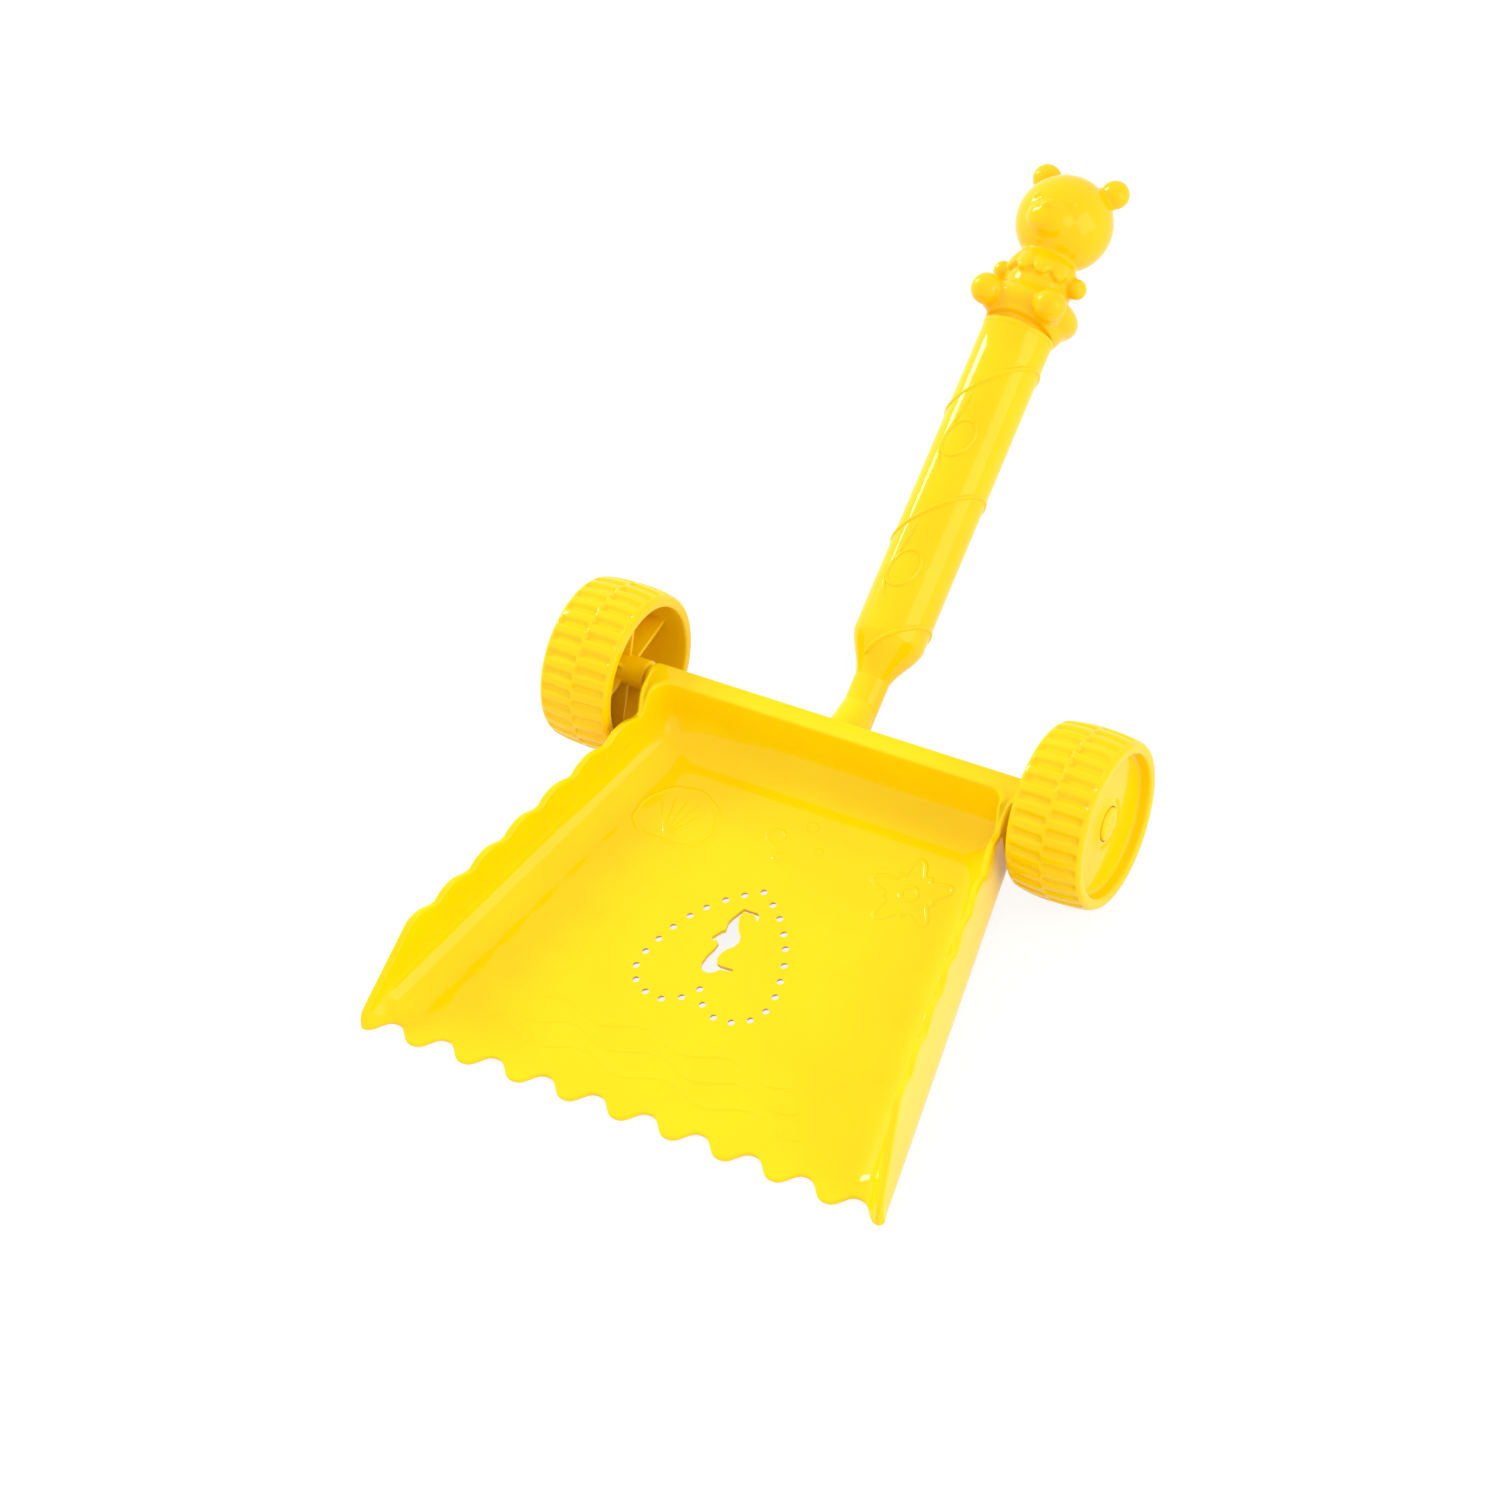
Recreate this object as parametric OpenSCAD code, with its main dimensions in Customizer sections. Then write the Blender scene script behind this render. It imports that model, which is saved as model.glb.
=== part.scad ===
// Toy sand shovel: a scalloped pan on two wheels, with a hollow grip that ends in a sitting bear.
// The pan is drawn lying on its own floor plane, with its front tips on the line y = 0,
// and the whole shovel is then tipped back until it stands on its wheels and front corner tips.
// The handle's pieces are drawn along +Z and laid along the handle's line.

/* [Pan] */
// Width over the side walls at the front
pan_front_w = 203; // [185:1:230]
// Width over the side walls at the back
pan_back_w = 140.6; // [132:0.2:150]
// Length from the outermost tips to the inside of the back wall
pan_len = 158.4; // [140:0.2:180]
// Thickness of the floor
floor_t = 1.6; // [1.2:0.1:3]
// Thickness of the side walls
wall_t = 2.6; // [2:0.1:3.6]
// Thickness of the back wall
back_t = 2.4; // [2:0.1:3.6]
// Height of the back wall and its ledge
back_h = 26.4; // [24:0.1:34]
// Radius of the hollow's inner corners
hollow_r = 10; // [6:0.5:12]

/* [Ledge behind the back wall] */
// Depth of the ledge, from the inside of the back wall
ledge_depth = 7.7; // [6.5:0.1:9]
// Thickness of the ledge
ledge_t = 2.2; // [1.8:0.1:3]
// Height of the lip that turns down at the ledge's edge
lip_h = 4; // [3:0.1:5]
// Thickness of that lip
lip_t = 1.8; // [1.4:0.1:2.4]
// Thickness of the ribs under the ledge
rib_t = 2; // [1.4:0.1:3]

/* [Front teeth] */
// Number of gaps between the teeth
tooth_count = 10; // [6:1:14]
// Distance of the outermost tips from the outsides of the walls
tip_inset = 1.5; // [1:0.1:3]
// Depth of each gap
tooth_depth = 6; // [3:0.5:9]
// How far the middle tips stand back from the outer ones
front_bow = 2.1; // [0:0.1:6]

/* [Side wall edge] */
// Height of the wall at its front tip
nose_h = 5; // [3:0.1:7]
// Slope of the wall's straight front edge in degrees
nose_angle = 34.4; // [30:0.2:40]
// Length of the straight front edge
nose_len = 25.8; // [20:0.2:32]
// Number of scallops
scallop_count = 7; // [4:1:9]
// Height of each scallop over its valleys
scallop_h = 3.2; // [1:0.1:4]
// Height of the valley line at its front end
valley_front_h = 23.8; // [21:0.1:27]
// Height of the valley line at its back end
valley_back_h = 19.2; // [17:0.1:23]
// Length of the corner post between the last scallop and the back wall
corner_len = 13; // [9:0.5:18]

/* [Holes in the floor] */
// Radius of the small round holes
hole_r = 1.25; // [0.8:0.05:1.6]
// How much wider each of these holes is on the underside
hole_flare = 0.5; // [0:0.05:0.8]
// Width of the heart of holes
heart_w = 51; // [40:0.5:60]
// Length of the heart of holes
heart_len = 53.6; // [40:0.2:60]
// Distance from the front tips to the heart
heart_y = 50.9; // [40:0.1:60]
// Length of the cut-out sea horse
sea_horse_len = 29; // [20:0.5:32]
// Distance from the front tips to the sea horse's tail
sea_horse_y = 95.6; // [84:0.2:98]

/* [Wheels] */
// Radius of the wheel over its crown
wheel_r = 30.9; // [27:0.1:36]
// How much smaller the wheel is at its rims
wheel_drop = 1.4; // [0.5:0.1:2]
// Width of the wheel
wheel_w = 28; // [22:0.5:34]
// Radius of the openings in the wheel's sides
rim_in_r = 25.5; // [22:0.1:26.5]
// Depth of the shallow recess in the outer side
recess_depth = 4.7; // [4:0.1:7]
// Thickness of the disc between recess and cup
disc_t = 2.2; // [1.6:0.1:3]
// Number of tread ribs in each of the two rows
rib_count = 30; // [20:1:40]
// Height of the tread ribs
tread_h = 0.8; // [0.4:0.1:1.2]
// Radius of the hub
hub_r = 5.6; // [5:0.1:7]
// Number of webs inside the cup
web_count = 6; // [3:1:8]
// Thickness of those webs
web_t = 1.6; // [1.2:0.1:2.4]
// Least gap between the wheel and the side wall
wheel_gap = 3.9; // [2:0.1:6]

/* [Axle] */
// Radius of the axle rod
axle_r = 2.2; // [1.8:0.1:2.6]
// Distance of the axle behind the inside of the back wall
axle_back = 7.3; // [6:0.1:8.5]
// Height of the axle over the floor plane
axle_h = 16.7; // [13:0.1:18]
// Radius of the tube that holds the axle under the ledge
axle_tube_r = 4.5; // [4:0.1:5.2]
// Radius of the end caps
cap_r = 6; // [5:0.1:8]
// Thickness of the end caps
cap_t = 2.2; // [2:0.1:3]

/* [Handle] */
// Angle between handle and floor in degrees
handle_angle = 23; // [18:0.5:30]
// Height at which the handle's line meets the ledge's edge
handle_h = 12; // [10:0.1:14]
// Radius of the neck
neck_r = 6.4; // [5.6:0.1:7.4]
// Length of the neck behind the ledge's edge
neck_len = 26; // [22:0.2:34]
// Radius of the stem inside the grip
stem_r = 4.4; // [3.6:0.1:4.8]
// Length of the stem inside the grip
stem_len = 30; // [24:1:40]
// Radius of the grip
grip_r = 13.1; // [12:0.1:15]
// Length of the straight part of the grip
grip_len = 123.6; // [100:0.2:140]
// Length of the grip's cone
cone_len = 15; // [12:0.5:20]
// Thickness of the grip's wall
grip_t = 2; // [1.6:0.1:3]
// How far the rim at the grip's mouth stands out
rim_out = 0.4; // [0.2:0.1:0.8]
// Height of that rim
rim_h = 1.6; // [1:0.1:3]

/* [Screw in the grip] */
// Radius of the screw's shank
screw_r = 1.5; // [1.2:0.1:1.8]
// Length of the shank under the head
screw_len = 12; // [9:0.5:16]
// Radius of the screw's head
screw_head_r = 3; // [2.6:0.1:3.6]
// Height of the screw's head
screw_head_h = 2.2; // [1.6:0.1:3]

/* [Bear] */
// Thickness of the bear's wall
bear_t = 2; // [1.6:0.1:3]
// Length of the plug that goes into the grip
plug_len = 10; // [7:0.5:14]
// Radius of the seat at its widest
seat_r = 18.2; // [17:0.1:20]
// Height of the seat
seat_h = 17; // [15:0.5:20]
// How far the seat stands back from the grip's line
seat_back = 2.4; // [0:0.1:3]
// Radius of the chest
chest_r = 11.6; // [10.5:0.1:13]
// Height of the chest's middle over the grip
chest_up = 19; // [17:0.5:22]
// Radius of the head
head_r = 17.9; // [16:0.1:19]
// How deep the head sits in the chest
head_sink = 4.1; // [2:0.1:6]
// Radius of the round collar
collar_r = 11.4; // [10.4:0.1:12.4]
// Thickness of the round collar
collar_t = 5; // [4:0.1:6]
// Height of the collar over the chest's middle
collar_up = 8.4; // [7:0.1:9.6]
// Radius of the ears
ear_r = 5.2; // [4.4:0.1:6]
// How far the ears' middles stand out from the head
ear_out = 2.9; // [2:0.1:3.4]
// How far the ears stand back from the middle of the head
ear_back = 1.4; // [0:0.1:4]
// Angle of the ears from the handle's line in degrees
ear_angle = 42; // [36:1:50]
// Radius of the muzzle
muzzle_r = 7.4; // [6:0.1:8.5]
// Radius of the nose
nose_r = 2.2; // [1.6:0.1:3]
// Radius of the hands
hand_r = 3.5; // [3:0.1:4.4]
// How far the hands' middles stand out from the chest
hand_out = 3.1; // [2:0.1:4]
// Height of the hands' middles over the chest's
hand_up = 2.6; // [1:0.1:6]
// Radius of the feet
foot_r = 5.9; // [5:0.1:6.6]
// Sideways distance of the feet from the middle
foot_side = 12.6; // [11:0.1:14]
// Distance of the feet in front of the middle
foot_front = 12.4; // [11:0.1:14]
// Height of the feet's middles over the grip
foot_up = 8.4; // [7:0.1:11]

/* [Fits] */
// Radial clearance of wheels on the axle
run_gap = 0.05; // [0.03:0.01:0.08]
// Radial clearance of pieces pushed together
push_gap = 0.05; // [0.02:0.01:0.1]
// End clearance on each side of a wheel
end_gap = 0.3; // [0.3:0.05:0.5]
// Overrun of cuts past the faces that they open
cut = 1; // [0.5:0.1:2]

/* [Hidden] */
$fn = 96;
blend_fn = 32;

plastic = [1, 0.91, 0.02];
wheel_plastic = [1, 0.86, 0.02];
steel = [0.72, 0.73, 0.75];

// Plan of the pan: the side walls run straight from the outer tips to the back corners
pan_back_y = pan_len + ledge_depth;
flare = atan((pan_front_w - pan_back_w) / 2 / pan_len);
tooth_span = pan_front_w - 2 * tip_inset;
tooth_pitch = tooth_span / tooth_count;
tooth_steps = 8;
corner_steps = 6;
outer_corner_r = wall_t + hollow_r / 4;
function half_w(y) = pan_front_w / 2 - y * tan(flare);
function tip_y(x) = front_bow * (1 - pow(2 * x / tooth_span, 2));
function tooth_y(x) = tip_y(x) + tooth_depth * (1 - cos(360 * (x / tooth_pitch - tooth_count / 2))) / 2;

// Side view of the wall's top edge
nose_slope = tan(nose_angle);
scallop_pitch = (pan_len - corner_len - nose_len) / scallop_count;
scallop_end = pan_len - corner_len;
scallop_steps = 8;
corner_rise_share = 0.6;
rib_shares = [-0.36, -0.18, 0.18, 0.36];
function valley_h(y) = valley_front_h
    + (valley_back_h - valley_front_h) * (y - nose_len) / (scallop_end - nose_len);
function scallop(y) = scallop_h * abs(sin(180 * (y - nose_len) / scallop_pitch));
function ease(t) = (1 - cos(180 * min(1, max(0, t)))) / 2;
function edge_h(y) = y < scallop_end
    ? min(nose_h + y * nose_slope, valley_h(y) + scallop(y))
    : valley_back_h + (back_h - valley_back_h) * ease((y - scallop_end) / corner_len / corner_rise_share);

// Places of the axle and wheels
axle_y = pan_len + axle_back;
wheel_in_x = half_w(axle_y - wheel_r) + wheel_gap;
wheel_out_x = wheel_in_x + wheel_w;
disc_out_x = wheel_out_x - recess_depth;
tube_end_x = wheel_in_x - end_gap / 2;
hub_in_x = tube_end_x + end_gap;
cap_in_x = disc_out_x + end_gap;
cap_blind_share = 0.45;
rod_half = cap_in_x + cap_t * (1 - cap_blind_share);

// Where the flanks of one tread rib start and end, as shares of the pitch
tread_shares = [0.04, 0.28, 0.72, 0.96];
web_h_share = 0.6;
mid_drop_share = 0.25;

// The tilt that brings the wheels and the front tips to the ground together
tilt = asin(wheel_r / norm([axle_y, axle_h])) - atan2(axle_h, axle_y);

// Places along the handle's line, from where it meets the ledge's edge
grip_start = neck_len;
tube_start = neck_len + cone_len;
tube_end = tube_start + grip_len;
collar_len = cone_len / 4;
cone_steps = 8;
shoulder_share = 0.1;
stem_end = neck_len + stem_len;
web_share = 1.25;
web_thick = grip_t * web_share;
pilot_r = screw_r + push_gap;

// Shares that size the strut from the ledge to the neck
strut_share = 1.5;
strut_edge_share = 0.8;
screw_cross_share = 1.2;

// Places on the bear, over the end of the grip
seat_mid = seat_h / 2;
head_up = chest_up + chest_r + head_r - head_sink;
bear_hollow_r = stem_r;

// Shares that place and size the bear's smaller forms
arm_share = 0.72;
shoulder_out_share = 0.5;
muzzle_out_share = 0.7;
muzzle_low_share = 0.25;
nose_out_share = 0.15;
nose_low_share = 0.08;
ear_root_share = 0.7;
leg_share = 0.85;
leg_side_share = 0.6;
leg_up_share = 0.8;

// Places over the ground
front_low_y = -nose_h * sin(tilt);
lean = handle_angle + tilt;
ear_reach = (head_r + ear_out) * cos(ear_angle) * cos(lean) + ear_back * sin(lean) + ear_r;
head_reach = max(head_r, ear_reach);
head_line = tube_end + head_up;
head_y = (pan_back_y + head_line * cos(handle_angle)) * cos(tilt)
    - (handle_h + head_line * sin(handle_angle)) * sin(tilt);
mid_y = (front_low_y + head_y + head_reach) / 2;

// Half of the heart of holes, from its point to its cleft, as shares of its width and length
heart_shares = [[0, 1], [0.11, 0.93], [0.21, 0.85], [0.3, 0.75], [0.37, 0.65], [0.43, 0.53], [0.47, 0.41],
                [0.5, 0.29], [0.5, 0.17], [0.44, 0.07], [0.33, 0.01], [0.2, 0], [0.08, 0.06], [0, 0.16]];

// Outline of a sea horse that looks to the side, from its tail, as shares of its length
sea_horse_shares = [[0.145, 0.1], [0.13, 0.04], [0.09, 0], [-0.1, 0], [-0.125, 0.06], [-0.165, 0.17],
                    [-0.18, 0.26], [-0.15, 0.36], [-0.185, 0.39], [-0.25, 0.51], [-0.215, 0.56],
                    [-0.17, 0.53], [-0.135, 0.57], [-0.14, 0.655], [-0.17, 0.78], [-0.175, 0.9],
                    [-0.14, 0.97], [-0.09, 1], [-0.02, 1], [0.04, 0.96], [0.08, 0.905], [0.215, 0.88],
                    [0.235, 0.855], [0.21, 0.84], [0.055, 0.85], [0, 0.835], [-0.03, 0.79], [-0.03, 0.69],
                    [0.01, 0.61], [0.065, 0.55], [0.095, 0.47], [0.07, 0.39], [0.005, 0.32],
                    [-0.05, 0.235], [-0.085, 0.14], [-0.085, 0.045], [0.07, 0.04], [0.1, 0.07],
                    [0.12, 0.11]];

// Stands what is drawn on the pan's floor plane on the ground
module on_ground() {
    translate([0, -mid_y, 0]) rotate([tilt, 0, 0]) children();
}

// Lays what is drawn along +Z on the handle's line, with its front facing up
module on_handle(along) {
    translate([0, pan_back_y, handle_h])
        rotate([handle_angle - 90, 0, 0])
            translate([0, 0, along])
                children();
}

// A round bar or bore from one x to another, on the axle's line
module across(radius, from_x, to_x) {
    translate([from_x, axle_y, axle_h]) rotate([0, 90, 0]) cylinder(r = radius, h = to_x - from_x);
}

module pan_plan() {
    teeth = [for (i = [0 : tooth_count * tooth_steps])
        let (x = -tooth_span / 2 + i * tooth_pitch / tooth_steps) [x, tooth_y(x)]];
    corner = [for (i = [0 : corner_steps])
        let (a = 90 * i / corner_steps)
        [half_w(pan_len) - outer_corner_r * (1 - cos(a)), pan_back_y - outer_corner_r * (1 - sin(a))]];
    other = [for (i = [corner_steps : -1 : 0]) [-corner[i][0], corner[i][1]]];
    nose_y = tip_inset;
    polygon(concat([[-half_w(nose_y), nose_y]], teeth, [[half_w(nose_y), nose_y]],
                   [[half_w(pan_len), pan_len]], corner, other, [[-half_w(pan_len), pan_len]]));
}

// The side view of the pan, drawn with y to the right and height upward
module pan_side() {
    rise = [for (i = [0 : scallop_count * scallop_steps])
        let (y = nose_len + i * scallop_pitch / scallop_steps) [y, edge_h(y)]];
    post = [for (i = [1 : corner_steps])
        let (y = scallop_end + i * corner_len * corner_rise_share / corner_steps) [y, edge_h(y)]];
    polygon(concat([[pan_back_y + cut, -cut], [-cut, -cut], [-cut, nose_h], [0, nose_h]],
                   rise, post, [[pan_back_y + cut, back_h]]));
}

// The hollow of the pan, with rounded lower edges and back corners, open to the front and above
module pan_hollow() {
    inset = (wall_t + hollow_r) / cos(flare);
    front_y = -hollow_r - cut;
    back_y = pan_len - hollow_r;
    hull() {
        for (side = [-1, 1]) {
            translate([side * (half_w(front_y) - inset), front_y, floor_t + hollow_r])
                sphere(r = hollow_r, $fn = blend_fn);
            translate([side * (half_w(back_y) - inset), back_y, floor_t + hollow_r])
                sphere(r = hollow_r, $fn = blend_fn);
            translate([side * (half_w(front_y) - inset), front_y, floor_t + hollow_r])
                cylinder(r = hollow_r, h = back_h, $fn = blend_fn);
            translate([side * (half_w(back_y) - inset), back_y, floor_t + hollow_r])
                cylinder(r = hollow_r, h = back_h, $fn = blend_fn);
        }
    }
}

module pan_shell() {
    under_y = pan_len + back_t;
    lip_y = pan_back_y - lip_t;
    inside_w = pan_back_w - 2 * wall_t;
    difference() {
        linear_extrude(height = back_h) pan_plan();
        // The open space under the ledge, between the back wall and the lip
        translate([-inside_w / 2, under_y, -cut])
            cube([inside_w, lip_y - under_y, back_h - ledge_t + cut]);
        translate([-inside_w / 2, lip_y - cut, -cut])
            cube([inside_w, lip_t + 2 * cut, back_h - lip_h + cut]);
    }
}

// The tube that holds the axle, and the ribs that tie it to the back wall and the ledge
module axle_tube() {
    rib_low = axle_h - axle_tube_r - neck_r;
    across(axle_tube_r, -tube_end_x, tube_end_x);
    for (share = rib_shares)
        translate([share * pan_back_w - rib_t / 2, pan_len + back_t / 2, rib_low])
            cube([rib_t, axle_y - pan_len, back_h - ledge_t / 2 - rib_low]);
    translate([-pan_back_w / 2 + wall_t / 2, pan_len + back_t / 2, axle_h - rib_t / 2])
        cube([pan_back_w - wall_t, axle_y - pan_len, rib_t]);
}

// The neck grows out of the back wall and ends in the stem that carries the grip
module neck() {
    root = (ledge_depth - back_t / 2) / cos(handle_angle);
    strut_w = neck_r * strut_share;
    on_handle(-root) cylinder(r = neck_r, h = root + neck_len);
    on_handle(neck_len - cut) cylinder(r = stem_r, h = stem_len + cut);
    hull() {
        translate([-strut_w / 2, pan_back_y - lip_t / 2, back_h - lip_t])
            rotate([0, 90, 0])
                cylinder(r = lip_t * strut_edge_share, h = strut_w, $fn = blend_fn);
        on_handle(strut_w)
            translate([-strut_w / 2, -neck_r / 2, 0])
                rotate([0, 90, 0])
                    cylinder(r = neck_r / 3, h = strut_w, $fn = blend_fn);
    }
}

module heart_holes() {
    for (p = heart_shares)
        for (side = p[0] == 0 ? [1] : [-1, 1])
            translate([side * p[0] * heart_w, heart_y + p[1] * heart_len, -cut])
                cylinder(r1 = hole_r + hole_flare, r2 = hole_r, h = floor_t + 2 * cut);
}

module sea_horse_hole() {
    translate([0, sea_horse_y, -cut])
        linear_extrude(height = floor_t + 2 * cut)
            polygon([for (p = sea_horse_shares) [p[0] * sea_horse_len, -p[1] * sea_horse_len]]);
}

module scoop_pan() {
    color(plastic) on_ground() difference() {
        union() {
            intersection() {
                pan_shell();
                rotate([90, 0, 90])
                    translate([0, 0, -pan_front_w / 2 - cut])
                        linear_extrude(height = pan_front_w + 2 * cut)
                            pan_side();
            }
            axle_tube();
            neck();
        }
        pan_hollow();
        across(axle_r + push_gap, -tube_end_x - cut, tube_end_x + cut);
        on_handle(stem_end - screw_len) cylinder(r = pilot_r, h = screw_len + cut);
        heart_holes();
        sea_horse_hole();
    }
}

module axle_rod() {
    color(steel) on_ground() across(axle_r, -rod_half, rod_half);
}

// A cap closes one end of the axle: side is 1 on the right and -1 on the left
module axle_cap(side) {
    color(wheel_plastic) on_ground() scale([side, 1, 1]) difference() {
        across(cap_r, cap_in_x, cap_in_x + cap_t);
        across(axle_r + push_gap, cap_in_x - cut, rod_half + push_gap);
    }
}

// One row of tread ribs, as a toothed outline that reaches past the tread on both sides
module tread_outline(shift) {
    low_r = wheel_r - 2 * tread_h;
    high_r = wheel_r + tread_h;
    step = 360 / rib_count;
    polygon([for (i = [0 : rib_count - 1]) for (k = [0 : 3])
        let (a = (i + shift + tread_shares[k]) * step, r = k == 0 || k == 3 ? low_r : high_r)
        [r * cos(a), r * sin(a)]]);
}

// The wheel is drawn with its axis along +Z, its cup side at 0 and its recess side at the top
module wheel_body() {
    lip_w = wheel_w / 9;
    row_w = wheel_w / 2 - lip_w;
    mid_drop = wheel_drop * mid_drop_share;
    rim_r = wheel_r - wheel_drop;
    hub_end = wheel_w - recess_depth - disc_t / 2;
    cup_depth = wheel_w - recess_depth - disc_t;
    difference() {
        intersection() {
            rotate_extrude()
                polygon([[0, 0], [rim_r - tread_h / 2, 0], [rim_r, tread_h],
                         [wheel_r - mid_drop, wheel_w / 4], [wheel_r, wheel_w / 2],
                         [wheel_r - mid_drop, wheel_w * 3 / 4], [rim_r, wheel_w - tread_h],
                         [rim_r - tread_h / 2, wheel_w], [0, wheel_w]]);
            union() {
                cylinder(r = wheel_r - tread_h, h = wheel_w);
                translate([0, 0, lip_w]) linear_extrude(height = row_w) tread_outline(0);
                translate([0, 0, wheel_w / 2]) linear_extrude(height = row_w) tread_outline(0.5);
            }
        }
        translate([0, 0, wheel_w - recess_depth]) cylinder(r = rim_in_r, h = recess_depth + cut);
        translate([0, 0, -cut]) cylinder(r = rim_in_r, h = cup_depth + cut);
    }
    translate([0, 0, hub_in_x - wheel_in_x]) difference() {
        cylinder(r = hub_r, h = hub_end - hub_in_x + wheel_in_x);
        translate([0, 0, -cut]) cylinder(r = axle_r + run_gap, h = wheel_w);
    }
}

module wheel(side) {
    cup_depth = wheel_w - recess_depth - disc_t;
    web_h = cup_depth * web_h_share;
    color(wheel_plastic) on_ground() scale([side, 1, 1])
        translate([wheel_in_x, axle_y, axle_h]) rotate([0, 90, 0]) difference() {
            union() {
                wheel_body();
                for (i = [0 : web_count - 1])
                    rotate([0, 0, (i + 0.5) * 360 / web_count])
                        translate([hub_r - web_t / 2, -web_t / 2, cup_depth - web_h])
                            cube([rim_in_r - hub_r + web_t, web_t, web_h + disc_t / 2]);
            }
            translate([0, 0, -cut]) cylinder(r = axle_r + run_gap, h = wheel_w + cut);
        }
}

module handle_grip() {
    bore_r = grip_r - grip_t;
    rim_r = grip_r + rim_out;
    shoulder = collar_len + cone_len * shoulder_share;
    top = cone_len + grip_len;
    cone = [for (i = [0 : cone_steps])
        let (t = i / cone_steps) [neck_r + (grip_r - neck_r) * (t + ease(t)) / 2, t * cone_len]];
    color(plastic) on_ground() on_handle(grip_start) difference() {
        rotate_extrude()
            polygon(concat([[0, 0]], cone, [[grip_r, top - rim_h], [rim_r, top - rim_h + rim_out],
                                            [rim_r, top], [0, top]]));
        translate([0, 0, -cut]) cylinder(r = stem_r + push_gap, h = stem_len + cut);
        rotate_extrude()
            polygon([[0, collar_len], [stem_r + push_gap, collar_len], [bore_r, cone_len + shoulder],
                     [bore_r, stem_len], [0, stem_len]]);
        translate([0, 0, stem_len - cut]) cylinder(r = screw_r + push_gap, h = web_thick + 2 * cut);
        translate([0, 0, stem_len + web_thick]) cylinder(r = bore_r, h = top);
    }
}

module grip_screw() {
    cross_w = screw_head_r / 3;
    cross_len = screw_head_r * screw_cross_share;
    color(steel) on_ground() on_handle(stem_end + web_thick) difference() {
        union() {
            cylinder(r = screw_head_r, h = screw_head_h);
            translate([0, 0, -screw_len]) cylinder(r = screw_r, h = screw_len + screw_head_h / 2);
        }
        for (turn = [0, 90])
            rotate([0, 0, turn])
                translate([-cross_len / 2, -cross_w / 2, screw_head_h / 2])
                    cube([cross_len, cross_w, screw_head_h]);
    }
}

// The rounded seat, drawn as a ring with a filled middle
module seat(inset) {
    ring_r = seat_h / 2 - inset;
    translate([0, seat_back, seat_mid]) {
        rotate_extrude() intersection() {
            translate([seat_r - seat_h / 2, 0]) circle(r = ring_r);
            translate([0, -ring_r]) square([seat_r, 2 * ring_r]);
        }
        translate([0, 0, -ring_r]) cylinder(r = seat_r - seat_h / 2, h = 2 * ring_r);
    }
}

module bear_body() {
    arm_r = hand_r * arm_share;
    hand_x = chest_r + hand_out;
    hand_z = chest_up + hand_up;
    shoulder_x = chest_r * shoulder_out_share;
    arm_len = hand_x - shoulder_x;
    muzzle_y = muzzle_r * muzzle_out_share - head_r;
    muzzle_z = head_up - head_r * muzzle_low_share;
    nose_y = -head_r - muzzle_r * nose_out_share;
    nose_z = head_up - head_r * nose_low_share;
    leg_turn = atan(foot_side * (1 - leg_side_share) / foot_front);
    leg_dip = atan(foot_up * (1 - leg_up_share) / foot_front);
    seat(0);
    translate([0, 0, chest_up]) sphere(r = chest_r);
    translate([0, 0, chest_up + collar_up]) rotate_extrude()
        translate([collar_r - collar_t / 2, 0]) circle(r = collar_t / 2);
    translate([0, 0, head_up]) sphere(r = head_r);
    translate([0, muzzle_y, muzzle_z]) sphere(r = muzzle_r);
    translate([0, nose_y, nose_z]) sphere(r = nose_r);
    for (side = [-1, 1]) {
        translate([0, ear_back, head_up]) rotate([0, side * ear_angle, 0]) {
            translate([0, 0, head_r + ear_out]) sphere(r = ear_r);
            translate([0, 0, head_r / 2]) cylinder(r = ear_r * ear_root_share, h = head_r / 2 + ear_out);
        }
        translate([side * hand_x, 0, hand_z]) sphere(r = hand_r);
        translate([side * shoulder_x, 0, hand_z])
            rotate([0, side * 90, 0])
                cylinder(r = arm_r, h = arm_len);
        translate([side * foot_side, -foot_front, foot_up]) sphere(r = foot_r);
        translate([side * foot_side * leg_side_share, 0, foot_up * leg_up_share])
            rotate([90 - leg_dip, 0, side * leg_turn])
                cylinder(r = foot_r * leg_share, h = foot_front);
    }
}

module bear_topper() {
    plug_r = grip_r - grip_t - push_gap;
    color(plastic) on_ground() on_handle(tube_end) difference() {
        union() {
            bear_body();
            translate([0, 0, -plug_len]) cylinder(r = plug_r, h = plug_len + seat_mid);
        }
        translate([0, 0, head_up]) sphere(r = head_r - bear_t);
        translate([0, 0, chest_up]) sphere(r = chest_r - bear_t);
        seat(bear_t);
        translate([0, 0, seat_mid]) cylinder(r = bear_hollow_r, h = head_up - seat_mid);
        translate([0, 0, -plug_len - cut]) cylinder(r = plug_r - bear_t, h = plug_len + cut + seat_mid);
    }
}

scoop_pan();
axle_rod();
wheel(-1);  // left_wheel
wheel(1);  // right_wheel
axle_cap(-1);  // left_axle_cap
axle_cap(1);  // right_axle_cap
handle_grip();
grip_screw();
bear_topper();
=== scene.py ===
"""Dresses the packed sand shovel: smooth forms in glossy yellow plastic round the fixed frame."""
import math

import bmesh
import bpy
from mathutils import Matrix, Vector


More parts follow.
